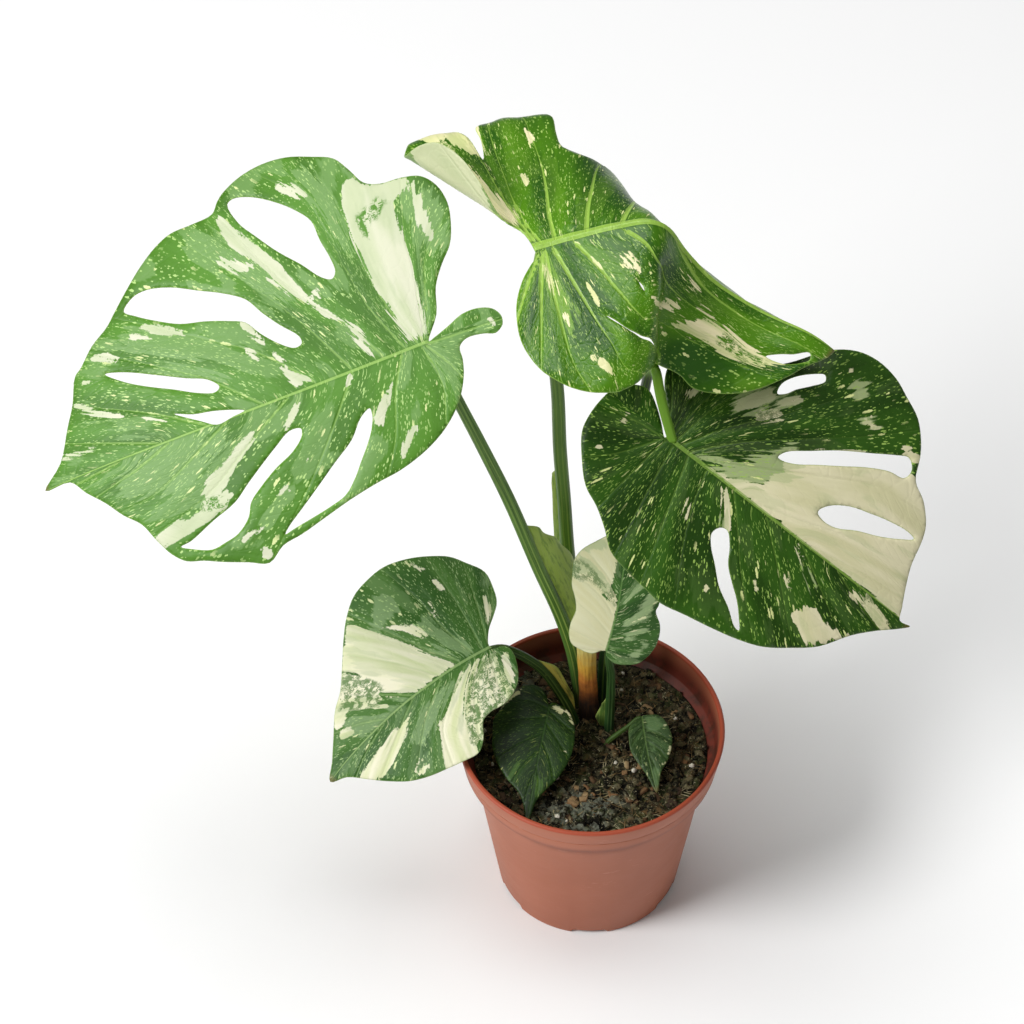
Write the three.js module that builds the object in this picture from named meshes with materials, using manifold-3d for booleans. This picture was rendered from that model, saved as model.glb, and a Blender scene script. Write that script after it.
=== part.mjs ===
// A Thai constellation monstera in a terracotta-coloured plastic nursery pot.
// Millimetres, +Z up. The origin is the centre of the pot's foot, on the ground, and the front is -Y.
// Seven leaves rise on their own stalks from a short stem in the soil. Each blade is a thin solid that is
// drawn flat, with its slots and holes, and then bent: along its midrib, and across it on either side.
import * as THREE from "three";
import { mergeVertices } from "three/addons/utils/BufferGeometryUtils.js";
import Module from "manifold-3d";

const wasm = await Module();
wasm.setup();

// Driving dimensions
const SEAT_GAP = 0.3; // left between pieces that touch
const BLADE_THICKNESS = 1.0;
const LARGE_LEAF = 150; // the outlines of longer leaves need no points between those given
const POT = {
  height: 124,
  rimRadius: 75,
  bandFootRadius: 71.6,
  bandHeight: 21,
  shoulderRadius: 66,
  footRadius: 51.2,
  lip: 2.8,
  wall: 1.6,
  floor: 1.8,
  floorLift: 3.5,
  ringWidth: 4,
  padRadius: 14,
  segments: 40,
};
const DRAINS = { count: 6, radius: 4, circle: 38 };
const NOTCHES = { count: 6, width: 20, height: 3 };
const SOIL = { top: 104, edgeRadius: 65.6, bump: 0.8, chips: 30, chipSeed: 20 };

// Blades. The flat outline is in millimetres from the stalk's joint: x runs along the midrib to the tip
// and y to the leaf's left. heading, pitch and roll turn the whole leaf, in degrees. The tracks are
// angles along the leaf: droop and sweep bend the midrib down and sideways, fold tips each half up or
// down at the midrib, and curl bends it per 100 mm away from the midrib. A track is a list of
// [share of length, value] keys, and a plain list of five has its keys at -1/3, 0, 1/3, 2/3 and 1.
const LEAVES = {
  left: {
    origin: [-88.1, 30, 409.6],
    length: 222.4,
    heading: 197,
    pitch: -13.6,
    roll: -22,
    droop: [4, 0, -5, -12, -26],
    sweep: [0, 0, -2.5, -5, -7.4],
    fold: [[0, 0, 0, -2, 0], [4, 6, 4, 2, 0]],
    curl: [[-30, -30, -26, -22, -20], [-14, -12, -12, -12, -10]],
    cell: 11,
    colour: 0x5f9b46,
    outline: [
      [-1, 0], [-10, -12], [-15, -26], [-22, -36], [-30, -45], [-35, -57], [-37, -68], [-35, -79],
      [-29, -87], [-19, -90], [-7, -91], [1, -95], [6, -105], [12, -115], [23, -121], [37, -127],
      [52, -129], [66, -127], [77, -122], [82, -118], [87, -112], [100, -111], [114, -111],
      [125, -107], [137, -99], [148, -89], [158, -79], [164, -73], [175, -66], [184, -57], [189, -53],
      [194, -39], [200, -28], [209, -11], [222, 0], [206, 1], [198, 10], [189, 19], [181, 29],
      [173, 37], [168, 48], [163, 57], [157, 63], [148, 66], [139, 70], [126, 75], [116, 79],
      [106, 73], [95, 71], [80, 67], [65, 63], [50, 60], [36, 58], [20, 53], [7, 46], [-4, 36],
      [-11, 25], [-14, 16], [-15, 9], [-20, 6], [-29, 7], [-35, 9], [-40, 6], [-41, 1], [-38, -4],
      [-31, -7], [-22, -7], [-14, -4], [-5, -1],
    ],
    holes: [
      [
        [77, -114], [73, -116], [63, -113], [50, -104], [41, -95], [35, -86], [34, -74], [32, -62],
        [32, -54], [35, -51], [40, -54], [48, -65], [58, -77], [67, -90], [74, -101],
      ],
      [
        [152, -78], [145, -84], [136, -85], [122, -81], [107, -73], [94, -66], [83, -58], [77, -48],
        [70, -38], [62, -28], [62, -24], [66, -23], [73, -28], [81, -37], [87, -46], [95, -50],
        [108, -55], [122, -59], [135, -66], [146, -73],
      ],
      [
        [171, -48], [160, -45], [143, -37], [127, -29], [116, -24], [111, -18], [114, -16],
        [123, -19], [136, -26], [148, -32], [160, -39],
      ],
      [[139, -13], [129, -9], [119, -7], [109, -4], [102, -1], [109, 0], [118, 1], [126, -4]],
      [
        [77, 19], [78, 23], [85, 29], [96, 34], [106, 40], [114, 46], [118, 53], [126, 59],
        [134, 61], [142, 62], [152, 58], [157, 55], [151, 54], [136, 48], [122, 43], [112, 36],
        [103, 30], [92, 23], [83, 18],
      ],
      [
        [40, 22], [40, 26], [43, 33], [48, 40], [54, 47], [59, 53], [67, 60], [77, 63], [87, 65],
        [98, 67], [103, 68], [100, 65], [91, 59], [79, 51], [66, 42], [54, 34], [46, 25],
      ],
    ],
  },
  top: {
    origin: [-32.9, 60, 449.4],
    length: 193.3,
    heading: 13,
    pitch: 5,
    roll: 0,
    droop: [[0, 4], [0.27, 0], [0.43, -68.5], [0.52, -57], [0.68, -33.5], [0.85, -19], [1, -44]],
    sweep: [[0.2, 0], [0.6, -32.1]],
    fold: [
      [[-0.2, 4], [0.15, 1], [0.45, -42], [1, -58]],
      [[-0.2, -8], [0.1, -14], [0.5, -24], [1, -24]],
    ],
    curl: [[[0, -5], [0.4, -20], [1, -20]], [[0, -16], [1, -10]]],
    skewRight: 0.15,
    // A margin that rolls over beyond a line: its point and direction, the roll's radius and angle.
    rolls: [
      { at: [1, 14], towards: 213, radius: 8, angle: 115 },
      { at: [0, 88], towards: 92, radius: 14, angle: -80 },
    ],
    cell: 9,
    colour: 0x3c7a1c,
    outline: [
      [0, 0], [-4, 11], [-20, 18], [-37, 25], [-50, 34], [-58, 47], [-58, 61], [-53, 76], [-48, 90],
      [-44, 98], [-36, 99], [-28, 97], [-20, 93], [-15, 86], [-11, 68], [-9, 82], [-10, 93],
      [-6, 99], [4, 103], [14, 103], [22, 99], [26, 91], [27, 77], [29, 66], [37, 60], [48, 60],
      [58, 67], [72, 75], [92, 74], [115, 66], [138, 55], [160, 40], [178, 20], [193, 0],
      [181, -19], [176, -26], [162, -41], [145, -52], [137, -54], [129, -52], [118, -55],
      [104, -60], [90, -64], [70, -63], [50, -60], [37, -56], [27, -48], [30, -56], [38, -63],
      [50, -67], [68, -71], [88, -73], [76, -79], [62, -83], [47, -86], [30, -88], [15, -88],
      [6, -86], [-2, -82], [-9, -76], [-14, -70], [-18, -61], [-20, -51], [-19, -39], [-16, -28],
      [-10, -17], [-4, -10], [0, -6],
    ],
    holes: [
      [[51, -33], [54, -35], [56, -38], [53, -36]],
      [[160, -21], [166, -17], [173, -14], [181, -9], [183, -12], [178, -17], [170, -21]],
    ],
  },
  right: {
    origin: [37.3, 14, 353.7],
    length: 169.8,
    heading: -28,
    pitch: -26.6,
    roll: 24,
    droop: [8, 0, -5, -10, -18],
    sweep: [0, 0, 1.1, 2.3, 3.4],
    fold: [[6, 4, 4, 2, 0], [0, 2, 2, 0, 0]],
    curl: [[-40, -34, -18, -12, -10], [-34, -34, -26, -20, -10]],
    cell: 10,
    colour: 0x467a2e,
    outline: [
      [0, -1], [-6, 4], [-14, 10], [-22, 14], [-29, 12], [-37, 3], [-39, -6], [-39, -16],
      [-37, -25], [-29, -36], [-18, -47], [-7, -52], [4, -59], [13, -66], [24, -69], [41, -71],
      [51, -72], [65, -69], [80, -66], [96, -62], [109, -57], [122, -48], [133, -39], [144, -24],
      [154, -14], [165, -5], [170, 0], [163, -1], [160, 5], [155, 16], [151, 27], [149, 40],
      [146, 49], [137, 59], [127, 65], [122, 77], [118, 84], [109, 94], [97, 100], [86, 105],
      [72, 107], [59, 104], [45, 94], [39, 86], [31, 75], [20, 64], [5, 55], [-8, 48], [-17, 40],
      [-21, 32], [-18, 23], [-9, 13], [0, 4],
    ],
    holes: [
      [
        [50, -26], [52, -21], [56, -20], [62, -26], [67, -34], [74, -40], [82, -46], [89, -53],
        [93, -58], [90, -58], [81, -52], [70, -46], [61, -38], [54, -32],
      ],
      [
        [90, 18], [93, 24], [103, 31], [115, 35], [126, 38], [139, 40], [144, 39], [137, 34],
        [126, 28], [114, 23], [103, 17], [95, 16],
      ],
      [
        [55, 28], [57, 33], [68, 42], [81, 52], [97, 62], [110, 70], [116, 73], [120, 71],
        [122, 67], [120, 62], [111, 60], [99, 54], [87, 46], [75, 38], [65, 31], [58, 28],
      ],
      [[35, 56], [34, 62], [38, 70], [46, 78], [51, 81], [53, 78], [48, 71], [42, 64], [39, 59]],
    ],
  },
  low: {
    origin: [-55.2, 26, 163.7],
    length: 118,
    heading: 203,
    pitch: -15.1,
    roll: -20,
    droop: [8, 0, -4, -8, -14],
    sweep: [0, 0, 7.7, 15.6, 23.2],
    fold: [[4, 8, 6, 4, 0], [4, 8, 6, 4, 0]],
    curl: [[-40, -40, -30, -20, -20], [-30, -20, -16, -16, -16]],
    cell: 9,
    colour: 0x3f7542,
    outline: [
      [-1, 1], [1, -1], [-3, -9], [-9, -15], [-14, -21], [-16, -30], [-16, -40], [-10, -49],
      [-4, -57], [5, -63], [15, -68], [26, -71], [36, -70], [45, -67], [54, -59], [60, -52],
      [69, -41], [79, -30], [88, -24], [99, -14], [109, -6], [118, 0], [110, 6], [103, 16],
      [96, 25], [87, 34], [76, 40], [64, 44], [51, 47], [40, 48], [32, 43], [26, 35], [19, 33],
      [10, 33], [2, 30], [-4, 25], [-8, 16], [-9, 8], [-7, 4],
    ],
    holes: [],
  },
  centre: {
    origin: [7.9, 6, 184.3],
    length: 77.3,
    heading: 44.6,
    pitch: 72,
    roll: 38,
    droop: [[-0.3, 6], [0, 0], [1, -18]],
    sweep: [[0, 0], [1, 11.1]],
    fold: [[[0, 0], [1, -4]], [[0, 10], [1, 4]]],
    curl: [[[0, -50], [1, -60]], [[0, -70], [1, -60]]],
    cell: 8,
    colour: 0xc9cf9d,
    outline: [
      [0, 0], [-1, 3], [-4, 7], [-4, 13], [-2, 19], [3, 22], [12, 23], [21, 22], [29, 24],
      [36, 27], [44, 28], [53, 28], [61, 24], [67, 17], [72, 10], [77, 0], [74, -8], [66, -18],
      [55, -23], [44, -22], [36, -22], [32, -21], [24, -25], [15, -26], [6, -24], [-2, -19],
      [-5, -13], [-6, -6], [-3, -1],
    ],
    holes: [],
  },
  front_left: {
    origin: [-22.7, 13, 128],
    length: 71,
    heading: 258.05,
    pitch: -12,
    roll: -4,
    droop: [[-0.3, 10], [0, 0], [1, -12]],
    sweep: [[0, 0], [1, 2.8]],
    fold: [[[0, 4], [1, 0]], [[0, 6], [1, 0]]],
    curl: [[[0, -60], [1, -50]], [[0, -60], [1, -50]]],
    cell: 8,
    colour: 0x2c5428,
    outline: [
      [0, 0], [-5, -3], [-9, -7], [-10, -12], [-8, -17], [-3, -21], [7, -26], [14, -29], [23, -28],
      [32, -26], [41, -21], [48, -15], [54, -8], [60, -4], [71, 0], [58, 3], [51, 7], [42, 13],
      [31, 17], [23, 18], [13, 17], [5, 14], [1, 10], [-1, 5],
    ],
    holes: [],
  },
  front_right: {
    origin: [28.9, 11, 120.6],
    length: 46.9,
    heading: 275.58,
    pitch: -10,
    roll: 4,
    droop: [[-0.3, 10], [0, 0], [1, -14]],
    sweep: [[0, 0], [1, 8]],
    fold: [[[0, 6], [1, 2]], [[0, 10], [1, 4]]],
    curl: [[[0, -60], [1, -50]], [[0, -60], [1, -50]]],
    cell: 7,
    colour: 0x4a7340,
    outline: [
      [0, 1], [2, -3], [7, -8], [13, -9], [21, -9], [29, -6], [36, -3], [47, 0], [36, 5],
      [30, 10], [22, 14], [15, 15], [9, 14], [4, 12], [1, 9], [0, 5],
    ],
    holes: [],
  },
};

// Stalks. The route runs from below the soil to the blade's joint, and the stalk then ends under the
// midrib, at the seat's share of a millimetre count along it and below it. radii are [share, radius]
// keys. A sheath is a thin wing along one side (-1 left, 1 right, seen from the front): its width keys,
// and how far it leans to the back, in degrees, where it leaves the stalk and at its free edge.
const STALKS = {
  left: {
    route: [
      [-5, 32.5, 94], [-6, 32, 120], [-9.8, 31, 153], [-16.7, 30, 185], [-29.6, 30, 228],
      [-45.4, 30, 283.5], [-60, 30, 328], [-72, 30, 363], [-82, 30, 393],
    ],
    radii: [[0, 4.2], [0.5, 3.6], [1, 3]],
    seat: [6, 1.5],
    sheath: {
      side: 1,
      width: [[0.1, 3], [0.2, 13], [0.3, 20], [0.37, 22], [0.43, 18], [0.48, 11], [0.53, 3]],
      lean: [10, 40],
    },
    colour: 0x4f7d2c,
  },
  top: {
    route: [
      [-2, 42, 94], [-3.5, 44, 112], [-8, 53, 150], [-12.8, 60, 202], [-15.3, 60, 249],
      [-17.8, 60, 290], [-19.8, 60, 343], [-25, 60, 392], [-30, 60, 430],
    ],
    radii: [[0, 4.4], [0.5, 3.8], [1, 3.2]],
    seat: [5, 1.5],
    sheath: { side: -1, width: [[0.12, 3], [0.25, 8], [0.38, 7.5], [0.47, 6.8], [0.505, 3]], lean: [10, 24] },
    colour: 0x5a8230,
  },
  right: {
    route: [
      [8, 30, 94], [8.4, 30, 115], [9, 32, 142], [12, 43, 180], [17, 54, 230], [22, 58, 285],
      [26, 52, 340], [29.3, 40, 378], [31.5, 31, 386], [34.5, 22, 374],
    ],
    radii: [[0, 3.8], [0.3, 3.3], [0.85, 2.7], [1, 2.6]],
    seat: [5, 1.5],
    colour: 0x4c7d38,
  },
  low: {
    route: [
      [-8, 20.5, 94], [-9.5, 21, 106], [-17, 24, 125], [-28, 26, 144.7], [-41.6, 26, 158],
      [-50, 26, 162],
    ],
    radii: [[0, 3.2], [0.6, 2.7], [1, 2.3]],
    seat: [6, 1.8],
    sheath: { side: 1, width: [[0.12, 2], [0.3, 6], [0.5, 7], [0.68, 2]], lean: [0, 20] },
    colour: 0x45702f,
  },
  centre: {
    route: [[10.5, 16, 94], [10.9, 15, 116], [11.2, 14, 139], [11, 12, 158], [9.6, 9.5, 172]],
    radii: [[0, 2.9], [1, 2.1]],
    seat: [6, 1.5],
    sheath: { side: -1, width: [[0.05, 3], [0.2, 8], [0.32, 5], [0.42, 2]], lean: [-10, 10] },
    colour: 0x4f7f3c,
  },
  front_left: {
    route: [[-14, 14, 96], [-15, 15, 108], [-17.5, 16, 119], [-21, 15, 125.5]],
    radii: [[0, 1.9], [1, 1.5]],
    seat: [5, 1.2],
    colour: 0x45702f,
  },
  front_right: {
    route: [[7, 3, 96], [9, 4, 104.5], [15, 6.5, 109.5], [22, 9, 114.5], [27.5, 11.5, 118.6]],
    radii: [[0, 1.6], [1, 1.2]],
    seat: [4, 1.0],
    colour: 0x4f7a3c,
  },
};
const STALK_SIDES = 8;
const STALK_STEP = 18; // along the route
const GROOVE = 0.16; // depth of the groove on a stalk's upper side, as a share of its radius
const SHEATH_THICKNESS = 1.0;
const STEM = { at: [1.5, 31], radius: 6, foot: 86, top: 107 };
const DRY_SHEATH = {
  at: [0.5, 28],
  radius: 7.2,
  arc: [205, 330],
  foot: 97,
  top: 166,
  lean: -3, // to the right, from foot to top
  thickness: 0.9,
};

// Solids and meshes
function solidOf(geometry) {
  const bare = geometry.clone();
  bare.deleteAttribute("normal");
  bare.deleteAttribute("uv");
  const merged = mergeVertices(bare, 1e-3);
  const corners = merged.index.array;
  const triangles = [];
  for (let i = 0; i < corners.length; i += 3) {
    const [a, b, c] = [corners[i], corners[i + 1], corners[i + 2]];
    if (a !== b && b !== c && c !== a) triangles.push(a, b, c);
  }
  return new wasm.Manifold(
    new wasm.Mesh({
      numProp: 3,
      vertProperties: merged.attributes.position.array,
      triVerts: new Uint32Array(triangles),
    }),
  );
}

function geometryFrom(points, triangles) {
  const geometry = new THREE.BufferGeometry();
  geometry.setAttribute("position", new THREE.Float32BufferAttribute(points.flat(), 3));
  geometry.setIndex(triangles.flat());
  return geometry;
}

function geometryOf(solid) {
  const mesh = solid.getMesh();
  const geometry = new THREE.BufferGeometry();
  geometry.setAttribute("position", new THREE.BufferAttribute(mesh.vertProperties, 3));
  geometry.setIndex(new THREE.BufferAttribute(mesh.triVerts, 1));
  return geometry;
}

function largestPiece(solid) {
  return solid.decompose().sort((a, b) => b.volume() - a.volume())[0];
}

function named(name, geometry, colour, roughness) {
  geometry.computeVertexNormals();
  const material = new THREE.MeshStandardMaterial({ color: colour, roughness, metalness: 0 });
  const mesh = new THREE.Mesh(geometry, material);
  mesh.name = name;
  return mesh;
}

// A repeatable random number between 0 and 1.
function randomFrom(seed) {
  let state = seed;
  return () => {
    state = (state * 1664525 + 1013904223) % 4294967296;
    return state / 4294967296;
  };
}

// The value of a track at a share of the length, eased from key to key.
function valueAt(track, share) {
  const keys = track[0].length ? track : track.map((value, i) => [(i - 1) / 3, value]);
  let value = keys[0][1];
  for (let i = 1; i < keys.length; i++) {
    const [[from, low], [to, high]] = [keys[i - 1], keys[i]];
    const f = Math.min(Math.max((share - from) / (to - from), 0), 1);
    value += (high - low) * f * f * (3 - 2 * f);
  }
  return value;
}

// Bends the flat leaf into place
function bender(leaf) {
  const { length, droop, sweep } = leaf;
  const rad = THREE.MathUtils.degToRad;
  const ahead = (pitch, turn) =>
    new THREE.Vector3(Math.cos(pitch) * Math.cos(turn), Math.cos(pitch) * Math.sin(turn), Math.sin(pitch));

  // The midrib, a point for each millimetre, behind the joint too.
  const behind = Math.floor(0.8 * length);
  const count = behind + Math.floor(1.12 * length) + 1;
  const directions = [];
  for (let i = 0; i < count; i++) {
    const share = (i - behind) / length;
    directions.push(ahead(rad(valueAt(droop, share)), rad(valueAt(sweep, share))));
  }
  const midrib = [new THREE.Vector3()];
  for (let i = 1; i < count; i++) {
    const step = directions[i].clone().add(directions[i - 1]).multiplyScalar(0.5);
    midrib.push(midrib[i - 1].clone().add(step));
  }
  const joint = midrib[behind].clone();
  midrib.forEach((point) => point.sub(joint));
  const midribAt = (x) => {
    const place = Math.min(Math.max(x + behind, 0), count - 1);
    const i = Math.min(Math.floor(place), count - 2);
    return midrib[i].clone().lerp(midrib[i + 1], place - i);
  };

  // The leaf's own axes.
  const heading = rad(leaf.heading);
  const along = ahead(rad(leaf.pitch), heading);
  const level = new THREE.Vector3(-Math.sin(heading), Math.cos(heading), 0);
  const aside = level
    .clone()
    .multiplyScalar(Math.cos(rad(leaf.roll)))
    .addScaledVector(along.clone().cross(level), Math.sin(rad(leaf.roll)));
  const upward = along.clone().cross(aside);
  const turned = new THREE.Matrix4().makeBasis(along, aside, upward).setPosition(...leaf.origin);

  return (flatX, flatY) => {
    let [x, y, lift] = [flatX, flatY, 0];
    for (const roll of leaf.rolls ?? []) {
      const [nx, ny] = [Math.cos(rad(roll.towards)), Math.sin(rad(roll.towards))];
      const fade = Math.min(Math.max(flatY / 12, 0), 1);
      const beyond = Math.max((x - roll.at[0]) * nx + (y - roll.at[1]) * ny, 0) * fade;
      const angle = Math.min(beyond / roll.radius, rad(Math.abs(roll.angle)));
      const rest = beyond - angle * roll.radius;
      const shift = roll.radius * Math.sin(angle) + rest * Math.cos(angle) - beyond;
      x += shift * nx;
      y += shift * ny;
      lift += Math.sign(roll.angle) * (roll.radius * (1 - Math.cos(angle)) + rest * Math.sin(angle));
    }
    const side = y >= 0 ? 1 : -1;
    const half = side > 0 ? 0 : 1;
    const out = Math.abs(y);
    const skew = side > 0 ? 0 : leaf.skewRight ?? 0;
    const share = (x - skew * out) / length;
    let [down, turn] = [0, 0];
    for (const k of [-1, -0.5, 0, 0.5, 1]) {
      const near = share + (k * 0.6 * out) / length;
      down += rad(valueAt(droop, near)) / 5;
      turn += rad(valueAt(sweep, near)) / 5;
    }
    const tangent = ahead(down, turn);
    const across = new THREE.Vector3(-Math.sin(turn), Math.cos(turn), 0);
    const normal = tangent.clone().cross(across);
    const fold = rad(valueAt(leaf.fold[half], share));
    const curl = rad(valueAt(leaf.curl[half], share)) / 100;
    const steps = 12;
    let [reach, rise] = [0, 0];
    for (let i = 0; i < steps; i++) {
      const angle = fold + (curl * out * (i + 0.5)) / steps;
      reach += (Math.cos(angle) * out) / steps;
      rise += (Math.sin(angle) * out) / steps;
    }
    const edge = fold + curl * out;
    return midribAt(x - skew * out)
      .addScaledVector(tangent, skew * out)
      .addScaledVector(across, side * reach)
      .addScaledVector(normal, rise)
      .addScaledVector(normal, lift * Math.cos(edge))
      .addScaledVector(across, -side * lift * Math.sin(edge))
      .applyMatrix4(turned);
  };
}

// The flat leaf as triangles: a plate with a pressed grid, so that its grid points stay, cut by the
// outline and the holes, of which the upper faces are kept.
function smoothLoop(points, parts) {
  const curve = new THREE.CatmullRomCurve3(
    points.map(([x, y]) => new THREE.Vector3(x, y, 0)),
    true,
    "centripetal",
  );
  return curve.getPoints(points.length * parts).slice(0, -1).map((p) => new THREE.Vector2(p.x, p.y));
}

function prism(points) {
  const depth = 40;
  const geometry = new THREE.ExtrudeGeometry(new THREE.Shape(points), { depth, bevelEnabled: false });
  return solidOf(geometry.translate(0, 0, -depth / 2));
}

function plate(bounds, cell) {
  const [pressed, depth] = [1.5, 6];
  const low = bounds.min.clone().divideScalar(cell).floor().subScalar(1);
  const high = bounds.max.clone().divideScalar(cell).ceil().addScalar(1);
  const [columns, rows] = [high.x - low.x, high.y - low.y];
  const points = [];
  for (const z of [0, -depth])
    for (let j = 0; j <= rows; j++)
      for (let i = 0; i <= columns; i++)
        points.push([(low.x + i) * cell, (low.y + j) * cell, z + pressed * ((i % 2) + (j % 2))]);
  const top = (i, j) => j * (columns + 1) + i;
  const layer = (columns + 1) * (rows + 1);
  const triangles = [];
  for (let j = 0; j < rows; j++)
    for (let i = 0; i < columns; i++) {
      const [a, b, c, d] = [top(i, j), top(i + 1, j), top(i + 1, j + 1), top(i, j + 1)];
      triangles.push([a, b, c], [a, c, d]);
      triangles.push([a + layer, c + layer, b + layer], [a + layer, d + layer, c + layer]);
    }
  const wall = (a, b) => triangles.push([a, a + layer, b + layer], [a, b + layer, b]);
  for (let i = 0; i < columns; i++) {
    wall(top(i, 0), top(i + 1, 0));
    wall(top(i + 1, rows), top(i, rows));
  }
  for (let j = 0; j < rows; j++) {
    wall(top(columns, j), top(columns, j + 1));
    wall(top(0, j + 1), top(0, j));
  }
  return solidOf(geometryFrom(points, triangles));
}

function flatTriangles(leaf) {
  const rim = smoothLoop(leaf.outline, leaf.length > LARGE_LEAF ? 1 : 2);
  const bounds = new THREE.Box2().setFromPoints(rim);
  let solid = plate(bounds, leaf.cell).intersect(prism(rim));
  for (const hole of leaf.holes) solid = solid.subtract(prism(smoothLoop(hole, 1)));
  const mesh = solid.simplify(0.35).getMesh();
  const place = new Map();
  const points = [];
  const triangles = [];
  const corner = (i) => {
    if (!place.has(i)) {
      place.set(i, points.length);
      points.push([mesh.vertProperties[3 * i], mesh.vertProperties[3 * i + 1]]);
    }
    return place.get(i);
  };
  for (let t = 0; t < mesh.triVerts.length; t += 3) {
    const ids = [...mesh.triVerts.slice(t, t + 3)];
    const [a, b, c] = ids.map((i) => new THREE.Vector3().fromArray(mesh.vertProperties, 3 * i));
    const facing = b.sub(a).cross(c.sub(a)).normalize();
    if (facing.z > 0.3) triangles.push(ids.map(corner));
  }
  return { points, triangles };
}

// The blade: the flat triangles bent, once on either side of its middle surface, and joined at the rim.
// grow widens it on every side.
function blade(leaf, flat, bend, grow = 0) {
  const half = BLADE_THICKNESS / 2 + grow;
  const edges = new Map();
  for (const [a, b, c] of flat.triangles)
    for (const [from, to] of [[a, b], [b, c], [c, a]]) edges.set(from + "_" + to, [from, to]);
  const rim = [...edges.values()].filter(([from, to]) => !edges.has(to + "_" + from));
  const outward = flat.points.map(() => new THREE.Vector2());
  for (const [from, to] of rim) {
    const along = new THREE.Vector2(...flat.points[to]).sub(new THREE.Vector2(...flat.points[from]));
    const normal = new THREE.Vector2(along.y, -along.x).normalize();
    outward[from].add(normal);
    outward[to].add(normal);
  }
  const points = [[], []];
  flat.points.forEach(([flatX, flatY], i) => {
    const push = outward[i].normalize().multiplyScalar(grow);
    const [x, y] = [flatX + push.x, flatY + push.y];
    const step = 0.5;
    const lengthwise = bend(x + step, y).sub(bend(x - step, y));
    const crosswise = bend(x, y + step).sub(bend(x, y - step));
    const normal = lengthwise.cross(crosswise).normalize();
    const middle = bend(x, y);
    points[0].push(middle.clone().addScaledVector(normal, half).toArray());
    points[1].push(middle.addScaledVector(normal, -half).toArray());
  });
  const under = flat.points.length;
  const triangles = [];
  for (const [a, b, c] of flat.triangles) triangles.push([a, b, c], [a + under, c + under, b + under]);
  for (const [from, to] of rim)
    triangles.push([from, from + under, to + under], [from, to + under, to]);
  return geometryFrom(points.flat(), triangles);
}

// A closed skin over sections, each a loop of as many points
function loft(sections) {
  const sides = sections[0].length;
  const points = sections.flat().map((point) => point.toArray());
  const triangles = [];
  for (let i = 0; i + 1 < sections.length; i++)
    for (let k = 0; k < sides; k++) {
      const [a, b] = [i * sides + k, i * sides + ((k + 1) % sides)];
      triangles.push([a, b, b + sides], [a, b + sides, a + sides]);
    }
  const last = (sections.length - 1) * sides;
  for (let k = 1; k + 1 < sides; k++) triangles.push([0, k + 1, k], [last, last + k, last + k + 1]);
  const solid = solidOf(geometryFrom(points, triangles));
  return solid.volume() > 0 ? solid : solidOf(geometryFrom(points, triangles.map((t) => t.reverse())));
}

// A stalk with its groove and its sheath. grow widens it, for the holes that it stands in.
function stalk(shape, end, grow = 0) {
  const route = [...shape.route.map((point) => new THREE.Vector3(...point)), end];
  const curve = new THREE.CatmullRomCurve3(route, false, "centripetal");
  const count = Math.round(curve.getLength() / STALK_STEP) + 2;
  const frameAt = (share) => {
    const tangent = curve.getTangentAt(share);
    const front = new THREE.Vector3(0, -1, 0.4);
    front.addScaledVector(tangent, -front.dot(tangent)).normalize();
    return { middle: curve.getPointAt(share), front, right: tangent.cross(front) };
  };
  const sections = [];
  for (let i = 0; i <= count; i++) {
    const share = i / count;
    const { middle, front, right } = frameAt(share);
    const radius = valueAt(shape.radii, share) + grow;
    const loop = [];
    for (let k = 0; k < STALK_SIDES; k++) {
      const angle = (2 * Math.PI * k) / STALK_SIDES;
      const reach = k === 0 && !grow ? radius * (1 - GROOVE) : radius;
      loop.push(
        middle
          .clone()
          .addScaledVector(front, reach * Math.cos(angle))
          .addScaledVector(right, reach * Math.sin(angle)),
      );
    }
    sections.push(loop);
  }
  const body = loft(sections);
  if (!shape.sheath) return body;

  const { side, width, lean } = shape.sheath;
  const [from, to] = [width[0][0], width[width.length - 1][0]];
  const half = SHEATH_THICKNESS / 2 + grow;
  const wing = [];
  const strips = 8;
  for (let i = 0; i <= strips; i++) {
    const share = from + ((to - from) * i) / strips;
    const { middle, front, right } = frameAt(share);
    const reach = valueAt(width, share) + grow;
    const spots = [0, 0.33, 0.67, 1].map((part) => {
      const angle = THREE.MathUtils.degToRad(lean[0] + (lean[1] - lean[0]) * part);
      return middle
        .clone()
        .addScaledVector(right, side * reach * part * Math.cos(angle))
        .addScaledVector(front, -reach * part * Math.sin(angle));
    });
    const facing = front.multiplyScalar(half);
    wing.push([
      ...spots.map((spot) => spot.clone().add(facing)),
      ...spots.reverse().map((spot) => spot.clone().sub(facing)),
    ]);
  }
  return body.add(loft(wing));
}

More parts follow.
